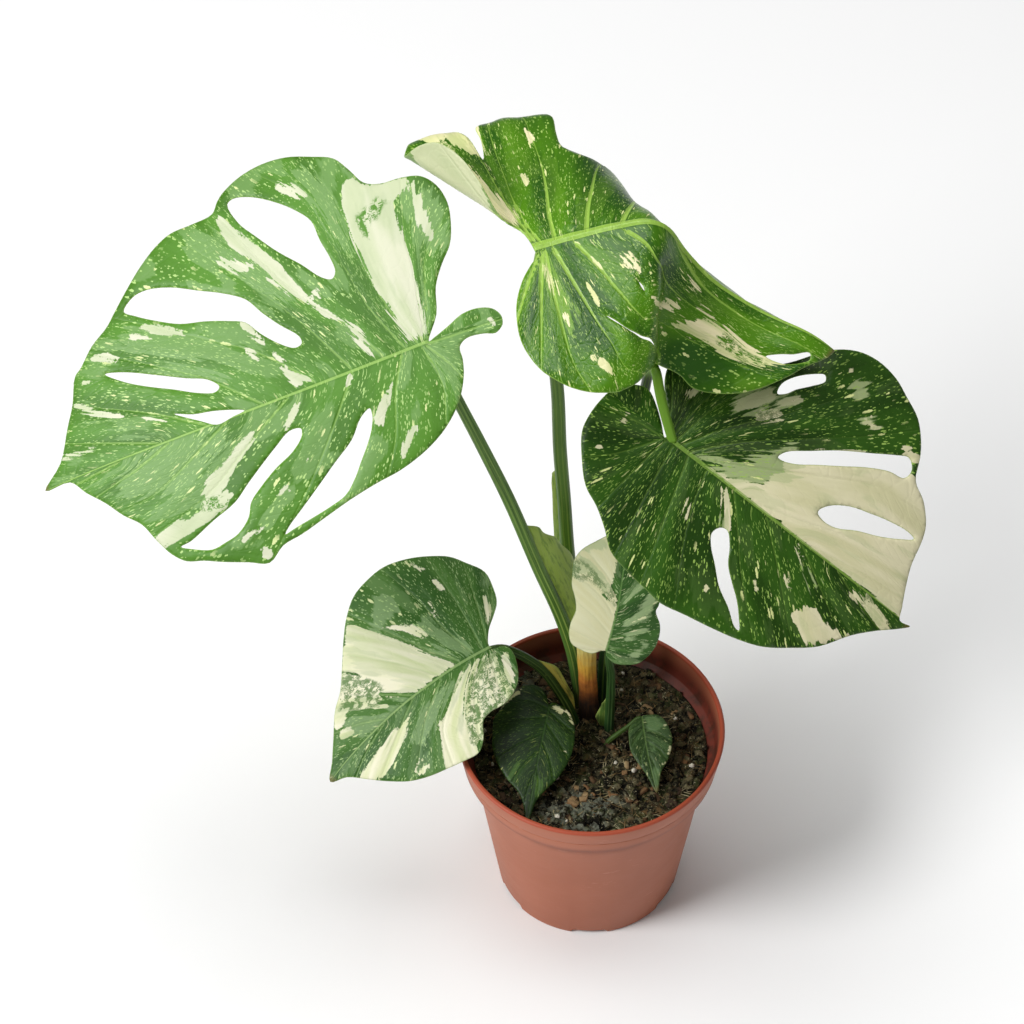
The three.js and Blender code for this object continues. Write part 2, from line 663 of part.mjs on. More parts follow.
// The pot, turned about its axis, with a wide rim band, a raised floor on a ring, and a centre pad
function pot() {
  const p = POT;
  const bandFoot = p.height - p.bandHeight;
  const profile = [
    [0, 0],
    [p.padRadius, 0],
    [p.padRadius + 1.5, p.floorLift],
    [p.footRadius - p.ringWidth - 0.8, p.floorLift],
    [p.footRadius - p.ringWidth, 0],
    [p.footRadius - 0.6, 0],
    [p.footRadius, 0.9],
    [p.shoulderRadius, bandFoot - 1.4],
    [p.shoulderRadius + 1.2, bandFoot - 0.2],
    [p.bandFootRadius - 0.8, bandFoot],
    [p.bandFootRadius, bandFoot + 1],
    [p.rimRadius, p.height - 1],
    [p.rimRadius - 0.8, p.height],
    [p.rimRadius - p.lip + 0.5, p.height],
    [p.rimRadius - p.lip, p.height - 0.8],
    [p.rimRadius - 4, bandFoot + 9],
    [p.rimRadius - 5.6, bandFoot + 4],
    [p.shoulderRadius + 0.6, bandFoot + 1.4],
    [p.shoulderRadius - p.wall, bandFoot - 0.6],
    [p.footRadius - p.wall + 0.6, p.floorLift + p.floor],
    [p.padRadius + 0.9, p.floorLift + p.floor],
    [p.padRadius - 0.6, p.floor],
    [0, p.floor],
  ];
  const lathe = new THREE.LatheGeometry(profile.map((point) => new THREE.Vector2(...point)), p.segments);
  let solid = solidOf(lathe.rotateX(Math.PI / 2));
  for (let i = 0; i < DRAINS.count; i++) {
    const drain = new THREE.CylinderGeometry(DRAINS.radius, DRAINS.radius, 4 * p.floor, 12);
    drain.rotateX(Math.PI / 2).translate(DRAINS.circle, 0, p.floorLift + p.floor / 2);
    solid = solid.subtract(solidOf(drain.rotateZ((2 * Math.PI * i) / DRAINS.count)));
  }
  for (let i = 0; i < NOTCHES.count; i++) {
    const reach = 3 * p.ringWidth;
    const notch = new THREE.BoxGeometry(reach, NOTCHES.width, 2 * NOTCHES.height);
    notch.translate(p.footRadius - p.ringWidth / 2, 0, 0);
    solid = solid.subtract(solidOf(notch.rotateZ((2 * Math.PI * (i + 0.5)) / NOTCHES.count)));
  }
  return solid;
}

// The soil: it fills the pot to the band's foot, with an uneven top, and bark and perlite lie in it
function soilHeight(x, y) {
  const inset = Math.min(Math.max((SOIL.edgeRadius - Math.hypot(x, y)) / 12, 0), 1);
  const waves = Math.sin(x / 8 + 1.3) * Math.cos(y / 7 - 0.4) + 0.6 * Math.sin(x / 4.1 - y / 3.7);
  return SOIL.top + SOIL.bump * inset * waves;
}

function soil() {
  const [p, gap] = [POT, SEAT_GAP];
  const bandFoot = p.height - p.bandHeight;
  const rings = 6;
  const profile = [];
  for (let i = 0; i <= rings; i++) profile.push([(SOIL.edgeRadius * i) / rings, SOIL.top]);
  profile.push(
    [p.shoulderRadius - p.wall - gap, bandFoot - 0.8],
    [p.footRadius - p.wall + 0.6 - gap, p.floorLift + p.floor + gap],
    [p.padRadius + 0.9, p.floorLift + p.floor + gap],
    [p.padRadius - 0.6 - gap, p.floor + gap],
    [0, p.floor + gap],
  );
  const points = profile.reverse().map((point) => new THREE.Vector2(...point));
  const lathe = new THREE.LatheGeometry(points, p.segments).rotateX(Math.PI / 2);
  const position = lathe.attributes.position;
  for (let i = 0; i < position.count; i++)
    if (position.getZ(i) > SOIL.top - 0.1)
      position.setZ(i, soilHeight(position.getX(i), position.getY(i)));
  let solid = solidOf(lathe);

  const random = randomFrom(SOIL.chipSeed);
  for (let i = 0; i < SOIL.chips; i++) {
    const chip = new THREE.OctahedronGeometry(1, 0);
    chip.scale(2.2 + 3 * random(), 1.6 + 1.8 * random(), 1 + 0.5 * random());
    chip.rotateX(0.5 * (random() - 0.5)).rotateZ(Math.PI * random());
    const reach = 60 * Math.sqrt(random());
    const angle = 2 * Math.PI * random();
    const [x, y] = [reach * Math.cos(angle), reach * Math.sin(angle)];
    solid = solid.add(solidOf(chip.translate(x, y, soilHeight(x, y) + 0.2)));
  }
  return solid;
}

// The short stem that the stalks grow from, with its rings
function stem(grow = 0) {
  const { at, radius, foot, top } = STEM;
  const profile = [
    [0, foot - grow],
    [radius * 0.7 + grow, foot - grow],
    [radius + grow, foot + 7],
    [radius * 0.92 + grow, foot + 11],
    [radius + grow, foot + 14],
    [radius * 0.8 + grow, top - 3],
    [radius * 0.4 + grow, top + grow],
    [0, top + grow],
  ].map((point) => new THREE.Vector2(...point));
  return solidOf(new THREE.LatheGeometry(profile, 14).rotateX(Math.PI / 2).translate(...at, 0));
}

// The dry, papery sheath of a fallen leaf, a curved scale in front of the stem
function drySheath(grow = 0) {
  const { at, radius, arc, foot, top, lean, thickness } = DRY_SHEATH;
  const sections = [];
  const levels = 6;
  const spots = 7;
  for (let i = 0; i <= levels; i++) {
    const share = i / levels;
    const z = foot + (top - foot) * share - grow * (1 - 2 * share);
    const narrow = 0.9 - 0.14 * Math.sin(Math.PI * share);
    const middle = (arc[0] + arc[1]) / 2;
    const loop = [];
    for (const edge of [1, -1])
      for (let k = 0; k < spots; k++) {
        const turn = edge > 0 ? k / (spots - 1) : 1 - k / (spots - 1);
        const spread = ((arc[1] - arc[0]) * (turn - 0.5) * narrow * (1 + grow / 6)) + middle;
        const angle = THREE.MathUtils.degToRad(spread);
        const reach = radius + edge * (thickness / 2 + grow) - 0.8 * share;
        const x = at[0] + lean * share + reach * Math.cos(angle);
        loop.push(new THREE.Vector3(x, at[1] + reach * Math.sin(angle), z));
      }
    sections.push(loop);
  }
  return loft(sections);
}

// The plant in its pot
const plant = new THREE.Group();
const stemGap = stem(SEAT_GAP);
let ground = soil().subtract(stemGap).subtract(drySheath(SEAT_GAP));
for (const [name, leaf] of Object.entries(LEAVES)) {
  const bend = bender(leaf);
  const flat = flatTriangles(leaf);
  plant.add(named("leaf_" + name, blade(leaf, flat, bend), leaf.colour, 0.45));

  const shape = STALKS[name];
  const [x, below] = shape.seat;
  const end = bend(x, 0);
  const lengthwise = bend(x + 1, 0).sub(bend(x - 1, 0));
  const crosswise = bend(x, 1).sub(bend(x, -1));
  end.addScaledVector(lengthwise.cross(crosswise).normalize(), -below);
  const bladeGap = solidOf(blade(leaf, flat, bend, SEAT_GAP));
  const solid = largestPiece(stalk(shape, end).subtract(bladeGap).subtract(stemGap));
  plant.add(named("stalk_" + name, geometryOf(solid), shape.colour, 0.5));
  ground = ground.subtract(stalk(shape, end, SEAT_GAP));
}
plant.add(named("stem", geometryOf(stem()), 0x4d3a22, 0.8));
plant.add(named("dry_sheath", geometryOf(drySheath()), 0xb98a3c, 0.7));
plant.add(named("soil", geometryOf(largestPiece(ground)), 0x3a332e, 0.95));
plant.add(named("pot", geometryOf(pot()), 0x9e5f4c, 0.55));

export default plant;
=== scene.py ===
# A Thai constellation monstera in a terracotta-coloured nursery pot, dressed for a portrait: fine leaf
# blades with veins and cream markings, grooved stalks, peat with bark and perlite, and a moulded pot.
import math
import random

import bmesh
import bpy
import numpy as np
from mathutils import Matrix, Vector, noise


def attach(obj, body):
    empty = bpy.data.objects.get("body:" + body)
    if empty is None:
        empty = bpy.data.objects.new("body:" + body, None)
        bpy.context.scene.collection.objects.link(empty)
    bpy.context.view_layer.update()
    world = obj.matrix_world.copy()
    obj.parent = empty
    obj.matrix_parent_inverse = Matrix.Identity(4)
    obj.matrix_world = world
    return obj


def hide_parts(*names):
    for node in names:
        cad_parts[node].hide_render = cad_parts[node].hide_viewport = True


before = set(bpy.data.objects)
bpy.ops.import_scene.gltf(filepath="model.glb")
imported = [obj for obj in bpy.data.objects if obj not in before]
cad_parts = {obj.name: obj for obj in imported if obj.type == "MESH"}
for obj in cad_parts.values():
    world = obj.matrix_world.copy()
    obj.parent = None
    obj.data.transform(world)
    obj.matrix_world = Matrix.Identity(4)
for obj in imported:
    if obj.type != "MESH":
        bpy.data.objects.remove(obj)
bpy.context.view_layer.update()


# The pot: one injection-moulded shell of matt terracotta-coloured plastic. A broad band stands proud
# under the rim, a hair line runs round the band, and the foot is a ring with six notches that lets
# water away from the holes in the raised floor.
class Tone:
    """One socket among a material's nodes. The arithmetic signs on it add Math nodes."""

    def __init__(self, tree, socket=None):
        self.tree, self.socket = tree, socket

    def node(self, kind, settings, sockets, out=0):
        made = self.tree.nodes.new("ShaderNode" + kind)
        for name, value in settings.items():
            if name == "stops":
                stops = made.color_ramp.elements
                while len(stops) < len(value):
                    stops.new(1)
                for stop, (place, colour) in zip(stops, value):
                    stop.position, stop.color = place, colour
            else:
                setattr(made, name, value)
        for key, value in sockets.items():
            if isinstance(value, Tone):
                self.tree.links.new(value.socket, made.inputs[key])
            else:
                made.inputs[key].default_value = value
        return Tone(self.tree, made.outputs[out])

    def maths(self, operation, first, second):
        return self.node("Math", {"operation": operation}, {0: first, 1: second})

    def __add__(self, other):
        return self.maths("ADD", self, other)

    def __sub__(self, other):
        return self.maths("SUBTRACT", self, other)

    def __rsub__(self, other):
        return self.maths("SUBTRACT", other, self)

    def __mul__(self, other):
        return self.maths("MULTIPLY", self, other)

    def __truediv__(self, other):
        return self.maths("DIVIDE", self, other)

    def __rtruediv__(self, other):
        return self.maths("DIVIDE", other, self)

    def __pow__(self, other):
        return self.maths("POWER", self, other)

    def __abs__(self):
        return self.maths("ABSOLUTE", self, 0)

    __radd__ = __add__
    __rmul__ = __mul__

    def least(self, other):
        return self.maths("MINIMUM", self, other)

    def most(self, other):
        return self.maths("MAXIMUM", self, other)

    def rise(self, low, high):
        """0 below low, 1 above high, eased between them. With low above high it falls."""
        ends = {0: self, 1: low, 2: high, 3: 0, 4: 1}
        if low > high:
            ends.update({1: high, 2: low, 3: 1, 4: 0})
        return self.node("MapRange", {"interpolation_type": "SMOOTHSTEP"}, ends)

    def over(self, under, top):
        """The colour top where this mask is 1, and under where it is 0."""
        return self.node("Mix", {"data_type": "RGBA"}, {0: self, 6: under, 7: top}, 2)

    def parts(self):
        return [self.node("SeparateXYZ", {}, {0: self}, i) for i in range(3)]

    def vector(self, x, y, z=0.0):
        return self.node("CombineXYZ", {}, {0: x, 1: y, 2: z})

    def stretched(self, x, y, z):
        return self.node("VectorMath", {"operation": "MULTIPLY"}, {0: self, 1: (x, y, z)})

    def clouds(self, scale, detail=3, rough=0.55):
        """Soft noise between 0 and 1 over this vector."""
        sockets = {"Vector": self, "Scale": scale, "Detail": detail, "Roughness": rough}
        return self.node("TexNoise", {}, sockets)

    def cells(self, scale, out="Distance", feature="F1", randomness=1.0):
        sockets = {"Vector": self, "Scale": scale, "Randomness": randomness}
        return self.node("TexVoronoi", {"feature": feature}, sockets, out)


def tint(red, green, blue):
    """A colour as it looks on a screen, 0 to 255, as the shader wants it."""
    shares = (((v / 255 + 0.055) / 1.055) ** 2.4 if v > 10 else v / 3294 for v in (red, green, blue))
    return (*shares, 1.0)


def start_finish(name, roughness, **constants):
    """A new material: its object coordinates, its surface shader and itself."""
    material = bpy.data.materials.new(name)
    material.use_nodes = True
    surface = material.node_tree.nodes["Principled BSDF"]
    surface.inputs["Roughness"].default_value = roughness
    for socket, value in constants.items():
        surface.inputs[socket.replace("_", " ")].default_value = value
    coordinates = Tone(material.node_tree).node("TexCoord", {}, {}, "Object")
    return coordinates, surface, material


def wear(surface, **sockets):
    """Feeds the surface shader's sockets."""
    for name, value in sockets.items():
        value.tree.links.new(value.socket, surface.inputs[name.replace("_", " ")])


def relief(height, strength, distance):
    return height.node("Bump", {}, {"Height": height, "Strength": strength, "Distance": distance})


def place_piece(name, shape, materials, slot, *nodes):
    """Turns a bmesh in millimetres into a piece that stands for its nodes."""
    bmesh.ops.scale(shape, vec=(0.001, 0.001, 0.001), verts=shape.verts)
    mesh = bpy.data.meshes.new(name)
    shape.to_mesh(mesh)
    shape.free()
    return hand_over(name, mesh, materials, slot, *nodes)


def hand_over(name, mesh, materials, slot, *nodes):
    for material in materials:
        mesh.materials.append(material)
    mesh.shade_smooth()
    piece = bpy.data.objects.new(name, mesh)
    bpy.context.collection.objects.link(piece)
    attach(piece, "root")
    if nodes:
        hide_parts(*nodes)
    return piece


POT_STEPS = 180


def moulded_pot():
    shape = bmesh.new()
    outside = [
        (0, 0), (14, 0), (15.5, 3.5),
    ]
    wall = [
        (46.4, 3.5), (47.2, 0), (50.6, 0), (51.2, 0.9), (58.6, 51), (66, 101.6), (67.2, 102.8), (70.8, 103),
        (71.6, 104), (73.05, 112.1), (72.75, 112.4), (73.2, 112.8), (75, 123), (74.2, 124),
        (72.7, 124), (72.2, 123.2), (71, 112), (69.4, 107), (66.6, 104.4), (64.4, 102.4), (50.2, 5.3),
    ]
    inside = [(14.9, 5.3), (13.4, 1.8), (0, 1.8)]
    for profile in (outside, wall, inside):
        verts = [shape.verts.new((r, 0, z)) for r, z in profile]
        edges = [shape.edges.new(pair) for pair in zip(verts, verts[1:])]
        bmesh.ops.spin(
            shape, geom=verts + edges, cent=(0, 0, 0), axis=(0, 0, 1), angle=2 * math.pi,
            steps=POT_STEPS, use_merge=True,
        )
    bmesh.ops.remove_doubles(shape, verts=shape.verts, dist=0.001)
    # the floor between the centre pad and the wall, with its six drain holes
    rims = {3.5: [], 5.3: []}
    for edge in shape.edges:
        if edge.is_boundary:
            rims[3.5 if edge.verts[0].co.z < 4 else 5.3].append(edge)
    for i in range(6):
        turn = Matrix.Rotation(i * math.pi / 3, 4, "Z") @ Matrix.Translation((38, 0, 3.5))
        ring = bmesh.ops.create_circle(shape, segments=28, radius=4, matrix=turn)["verts"]
        low = list({e for v in ring for e in v.link_edges})
        high = bmesh.ops.extrude_edge_only(shape, edges=low)["geom"]
        lifted = [v for v in high if isinstance(v, bmesh.types.BMVert)]
        bmesh.ops.translate(shape, vec=(0, 0, 1.8), verts=lifted)
        rims[3.5] += low
        rims[5.3] += [e for e in high if isinstance(e, bmesh.types.BMEdge) and e.is_boundary]
    for z, edges in rims.items():
        bmesh.ops.triangle_fill(shape, edges=edges, use_beauty=True, normal=(0, 0, 1))
    bmesh.ops.recalc_face_normals(shape, faces=shape.faces)
    # the notches in the foot ring
    for vert in shape.verts:
        turn = (math.degrees(math.atan2(vert.co.y, vert.co.x)) - 30) % 60
        if vert.co.z < 1 and 47 < vert.co.xy.length < 51.5 and min(turn, 60 - turn) < 11.5:
            vert.co.z = 3
    sharp = [e for e in shape.edges if len(e.link_faces) == 2 and e.calc_face_angle() > 0.4]
    bmesh.ops.bevel(
        shape, geom=sharp, offset=0.35, offset_type="OFFSET", segments=2, profile=0.5, affect="EDGES",
        clamp_overlap=True, material=-1,
    )
    for vert in shape.verts:
        vert.co.z = max(vert.co.z, 0)
    return shape


def pot_plastic():
    at, surface, material = start_finish("pot_plastic", 0.5, Specular_IOR_Level=0.4)
    x, y, z = at.parts()
    colour = at.clouds(18, 3).rise(0.3, 0.75).over(tint(162, 94, 67), tint(172, 103, 76))
    scuffs = at.stretched(60, 60, 240).clouds(1, 4, 0.7)
    colour = scuffs.rise(0.62, 0.75).over(colour, tint(184, 120, 98))
    reach = (x * x + y * y) ** 0.5
    rim = (z.rise(0.1215, 0.1235) * reach.rise(0.0705, 0.072)).over(colour, tint(164, 72, 46))
    # Painted shade: the inside of the pot above the soil and the wall just under the band take a dark tint,
    # in patches darker still lower down.
    patchy_deeper_shade = at.stretched(110, 110, 60).clouds(1, 4, 0.7).rise(0.44, 0.62) * z.rise(0.121, 0.107)
    painted_shade_tone = (patchy_deeper_shade * 0.75).over(tint(106, 44, 31), tint(58, 36, 25))
    deep = ((1 - reach.rise(0.0708, 0.0724)) * z.rise(0.09, 0.101)).over(rim, painted_shade_tone)
    wear(surface, Base_Color=deep, Roughness=0.44 + scuffs * 0.16)
    wear(surface, Normal=relief(at.clouds(2600, 2), 0.12, 0.0002))
    return material


place_piece("pot_shell", moulded_pot(), [pot_plastic()], "pot", "pot")


# The soil: moist peat with bark chips and perlite beads, filled to the foot of the pot's band. The
# crumbs, chips and beads lie in its uneven top.
BED_RADIUS, BED_TOP = 65.6, 104


def soil_height(x, y):
    inset = min(max((BED_RADIUS - math.hypot(x, y)) / 12, 0), 1)
    waves = math.sin(x / 8 + 1.3) * math.cos(y / 7 - 0.4) + 0.6 * math.sin(x / 4.1 - y / 3.7)
    return BED_TOP + 0.8 * inset * waves


def peat_bed():
    shape = bmesh.new()
    bmesh.ops.create_circle(shape, cap_ends=True, segments=120, radius=BED_RADIUS)
    for at in range(-64, 65, 2):
        for normal in ((1, 0, 0), (0, 1, 0)):
            geom = shape.verts[:] + shape.edges[:] + shape.faces[:]
            bmesh.ops.bisect_plane(shape, geom=geom, dist=0.01, plane_co=Vector(normal) * at, plane_no=normal)
    for vert in shape.verts:
        x, y = vert.co.xy
        lumps = noise.fractal(Vector((x / 5, y / 5, 3.1)), 1.0, 2.2, 3)
        inset = min(max((65.2 - math.hypot(x, y)) / 3, 0), 1)
        vert.co.z = soil_height(x, y) + inset * lumps * 1.7
    rim = [e for e in shape.edges if e.is_boundary]
    for reach, z in ((0.983, 102.2), (0.762, 5.6)):
        rim = bmesh.ops.extrude_edge_only(shape, edges=rim)["geom"]
        lower = [v for v in rim if isinstance(v, bmesh.types.BMVert)]
        rim = [e for e in rim if isinstance(e, bmesh.types.BMEdge) and e.is_boundary]
        for vert in lower:
            vert.co = (*(vert.co.xy.normalized() * BED_RADIUS * reach), z)
    bmesh.ops.contextual_create(shape, geom=rim)
    bmesh.ops.recalc_face_normals(shape, faces=shape.faces)
    return shape


def strew(shape, chance, make, size, sink, reach=64.5):
    """Lays one small body on the soil, turned at random: make adds it, and size gives its half sizes."""
    far = reach * math.sqrt(chance.random())
    turn = chance.uniform(0, 2 * math.pi)
    x, y = far * math.cos(turn), far * math.sin(turn)
    lay_down(shape, chance, make, size, (x, y), sink)


def lay_down(shape, chance, make, size, spot, sink):
    verts = make(shape)
    for vert in verts:
        dent = noise.noise(vert.co * 1.7 + Vector((chance.random() * 0.2, *spot)))
        vert.co *= 1 + 0.56 * dent
    bmesh.ops.scale(shape, vec=size, verts=verts)
    spin = Matrix.Rotation(chance.uniform(0, 2 * math.pi), 3, "Z")
    pitch = Matrix.Rotation(chance.uniform(-0.5, 0.5), 3, "X")
    roll = Matrix.Rotation(chance.uniform(-0.4, 0.4), 3, "Y")
    bmesh.ops.rotate(shape, cent=(0, 0, 0), matrix=spin @ pitch @ roll, verts=verts)
    bmesh.ops.translate(shape, vec=(*spot, soil_height(*spot) + size[2] * sink), verts=verts)


def crumb(shape):
    return bmesh.ops.create_icosphere(shape, subdivisions=1, radius=1)["verts"]


def bead(shape):
    return bmesh.ops.create_icosphere(shape, subdivisions=2, radius=1)["verts"]


def chip(shape):
    made = bmesh.ops.create_cube(shape, size=1.7)["verts"]
    edges = list(dict.fromkeys(e for v in made for e in v.link_edges))
    cut = bmesh.ops.bevel(
        shape, geom=edges, offset=0.28, offset_type="OFFSET", segments=1, profile=0.5, affect="EDGES",
        clamp_overlap=True, material=-1,
    )
    verts = {v for f in cut["faces"] for v in f.verts} | {v for v in made if v.is_valid}
    # Each corner takes a random draw, so they're put in an order that is the same each run.
    return sorted(verts, key=lambda v: tuple(round(c, 3) for c in v.co))


def heap(count, seed, lay_one):
    """Many small bodies on the soil, made a handful at a time."""
    pile, chance = bmesh.new(), random.Random(seed)
    spare = bpy.data.meshes.new("handful")
    while count > 0:
        handful = bmesh.new()
        for _ in range(min(count, 30)):
            lay_one(handful, chance)
        count -= 30
        handful.to_mesh(spare)
        handful.free()
        pile.from_mesh(spare)
    bpy.data.meshes.remove(spare)
    return pile


def lay_crumb(shape, chance):
    size = 0.5 + 2.8 * chance.random() ** 3
    sizes = (size * chance.uniform(0.8, 1.7), size, size * chance.uniform(0.5, 0.9))
    strew(shape, chance, crumb, sizes, 0.3)


def lay_fibre(shape, chance):
    """A thin root hair or peat fibre: a flattened, drawn-out crumb."""
    size = chance.uniform(1.6, 5.5)
    strew(shape, chance, crumb, (size, chance.uniform(0.13, 0.28), 0.16), 4.5, 63)


def fibre_finish():
    at, surface, material = start_finish("peat_fibre", 0.9, Specular_IOR_Level=0.15)
    kind = at.clouds(110, 1)
    colour = kind.node("ValToRGB", {"stops": [
        (0.3, tint(26, 22, 14)), (0.45, tint(84, 68, 44)), (0.56, tint(138, 116, 78)),
        (0.68, tint(176, 166, 132)),
    ]}, {0: kind})
    wear(surface, Base_Color=colour, Normal=relief(at.clouds(1400, 2), 0.4, 0.0003))
    return material


def lay_chip(shape, chance):
    long = chance.uniform(1.5, 3.8)
    strew(shape, chance, chip, (long, long * chance.uniform(0.35, 0.8), chance.uniform(0.5, 1.1)), 0.55, 62)


def lay_bead(shape, chance):
    size = chance.uniform(0.9, 1.7)
    strew(shape, chance, bead, (size, size * chance.uniform(0.7, 1), size * 0.8), 0.6, 63)


def peat_finish(name, low, high, spark):
    """Dark peat with olive, rusty and grey lights; a grey, drier patch lies at the front."""
    at, surface, material = start_finish(name, 0.95, Specular_IOR_Level=0.15)
    x, y, _ = at.parts()
    grain = at.clouds(520, 6, 0.8)
    crumb_tone = at.cells(330, "Color").parts()[0]
    tone = grain * 0.75 + crumb_tone * 0.25
    colour = tone.rise(0.38, 0.62).over(tint(*low), tint(*high))
    away = ((x + 0.006) * (x + 0.006) + (y + 0.046) * (y + 0.046) * 2) ** 0.5
    dry = (away + (at.clouds(130, 3, 0.6) - 0.5) * 0.05).rise(0.034, 0.012)
    behind = ((x + 0.046) * (x + 0.046) + (y - 0.046) * (y - 0.046)) ** 0.5
    dry = dry.most((behind + (at.clouds(130, 3, 0.6) - 0.5) * 0.05).rise(0.026, 0.008) * 0.8)
    colour = (dry * tone.rise(0.44, 0.56) * 0.9).over(colour, tint(122, 126, 112))
    rusty = at.clouds(170, 3, 0.6).rise(0.54, 0.66) * (1 - dry)
    colour = (rusty * tone.rise(0.42, 0.56) * 0.6).over(colour, tint(124, 92, 56))
    mossy = at.stretched(1.3, 0.8, 1).clouds(150, 3, 0.6)
    colour = (mossy.rise(0.52, 0.64) * 0.5).over(colour, tint(72, 80, 42))
    glints = at.clouds(900, 2, 0.6).rise(0.6, 0.66) * at.clouds(240, 2).rise(0.46, 0.56)
    colour = glints.over(colour, tint(*spark))
    wear(surface, Base_Color=colour)
    wear(surface, Normal=relief(grain, 1.0, 0.002))
    return material


def bark_finish():
    at, surface, material = start_finish("bark", 0.85, Specular_IOR_Level=0.3)
    kind = at.clouds(55, 1)
    colour = kind.node("ValToRGB", {"stops": [
        (0.3, tint(44, 34, 24)), (0.45, tint(82, 62, 42)), (0.56, tint(120, 88, 56)),
        (0.7, tint(160, 136, 98)),
    ]}, {0: kind})
    grain = at.stretched(900, 900, 2400).clouds(1, 4, 0.65)
    colour = grain.rise(0.55, 0.7).over(colour, tint(44, 32, 24))
    wear(surface, Base_Color=colour, Normal=relief(grain, 0.7, 0.0006))
    return material


def perlite_finish():
    at, surface, material = start_finish("perlite", 0.9, Specular_IOR_Level=0.3)
    pits = at.clouds(1500, 4, 0.7)
    colour = pits.rise(0.3, 0.6).over(tint(150, 140, 122), tint(226, 220, 204))
    wear(surface, Base_Color=colour, Normal=relief(pits, 0.8, 0.0006))
    return material


packed_peat = peat_finish("peat", (9, 9, 5), (76, 70, 50), (160, 154, 122))
place_piece("peat_bed", peat_bed(), [packed_peat], "soil", "soil")
loose_peat = peat_finish("loose_peat", (16, 15, 9), (112, 104, 76), (190, 180, 146))
place_piece("peat_crumbs", heap(1500, 3, lay_crumb), [loose_peat], "soil", "soil")
place_piece("peat_fibres", heap(1000, 7, lay_fibre), [fibre_finish()], "soil", "soil")
place_piece("bark_chips", heap(150, 5, lay_chip), [bark_finish()], "soil", "soil")
place_piece("perlite_beads", heap(26, 11, lay_bead), [perlite_finish()], "soil", "soil")


# The stem: the short, rough, ringed stock that every stalk grows from, half sunk in the soil.
def ringed_stem():
    shape = bmesh.new()
    profile = [
        (0, 86), (4.2, 86), (6, 93), (5.5, 97), (6, 100), (5.7, 101.5), (4.8, 104), (2.4, 107), (0, 107),
    ]
    verts = [shape.verts.new((r, 0, z)) for r, z in profile]
    edges = [shape.edges.new(pair) for pair in zip(verts, verts[1:])]
    bmesh.ops.spin(
        shape, geom=verts + edges, cent=(0, 0, 0), axis=(0, 0, 1), angle=2 * math.pi,
        steps=40, use_merge=True,
    )
    bmesh.ops.remove_doubles(shape, verts=shape.verts, dist=0.001)
    bmesh.ops.recalc_face_normals(shape, faces=shape.faces)
    bmesh.ops.subdivide_edges(shape, edges=shape.edges, cuts=1, use_grid_fill=True)
    for vert in shape.verts:
        if vert.co.xy.length > 0.5:
            vert.co.xy *= 1 + 0.05 * noise.noise(vert.co / 2)
    bmesh.ops.translate(shape, vec=(1.5, 31, 0), verts=shape.verts)
    return shape


def stem_finish():
    at, surface, material = start_finish("stem_bark", 0.85)
    rough = at.clouds(500, 5, 0.7)
    colour = rough.rise(0.35, 0.65).over(tint(62, 46, 30), tint(122, 100, 62))
    wear(surface, Base_Color=colour, Normal=relief(rough, 0.8, 0.0008))
    return material


place_piece("stem_stock", ringed_stem(), [stem_finish()], "stem", "stem")


# The dry sheath: the papery remains of an old leaf's base, curled round the front of the stem. It is
# pale and thin at its top edge, then yellow, orange and dark brown where it enters the soil.
SHEATH_FOOT, SHEATH_RISE, SHEATH_LEAN = 97, 69, -3


def papery_sheath():
    shape = bmesh.new()
    bmesh.ops.create_grid(shape, x_segments=28, y_segments=36, size=0.5)
    bmesh.ops.solidify(shape, geom=shape.faces[:], thickness=0.02)
    for vert in shape.verts:
        turn, share, layer = vert.co.x, vert.co.y + 0.5, 1 if abs(vert.co.z) > 0.005 else -1
        narrow = 0.9 - 0.14 * math.sin(math.pi * share)
        angle = math.radians(125 * turn * narrow + 267.5)
        ragged = 1.6 * noise.noise(Vector((turn * 9, 0, 2.2))) * max(share - 0.8, 0) / 0.2
        crease = 0.12 * math.sin(turn * 34) * share + 0.5 * noise.noise(Vector((turn * 4, share * 5, 7)))
        reach = 7.2 - 0.8 * share + crease + 0.4 * layer * (0.4 + 0.6 * (1 - share))
        x = 0.5 + SHEATH_LEAN * share + reach * math.cos(angle)
        vert.co = (x, 28 + reach * math.sin(angle), SHEATH_FOOT + SHEATH_RISE * share + ragged)
    bmesh.ops.recalc_face_normals(shape, faces=shape.faces)
    return shape


def sheath_finish():
    at, surface, material = start_finish("dry_sheath", 0.6)
    x, y, z = at.parts()
    height = (z - 0.104) * 16 + (at.clouds(150, 3) - 0.5) * 0.35
    colour = height.node("ValToRGB", {"stops": [
        (0.22, tint(40, 26, 18)), (0.36, tint(110, 62, 28)), (0.52, tint(186, 112, 44)),
        (0.72, tint(214, 166, 60)), (0.95, tint(210, 194, 108)),
    ]}, {0: height})
    fibres = at.stretched(1800, 1800, 90).clouds(1, 3)
    colour = (fibres.rise(0.5, 0.7) * 0.3).over(colour, tint(140, 92, 40))
    wear(surface, Base_Color=colour, Normal=relief(fibres, 0.5, 0.0005))
    return material


place_piece("papery_sheath", papery_sheath(), [sheath_finish()], "dry_sheath", "dry_sheath")


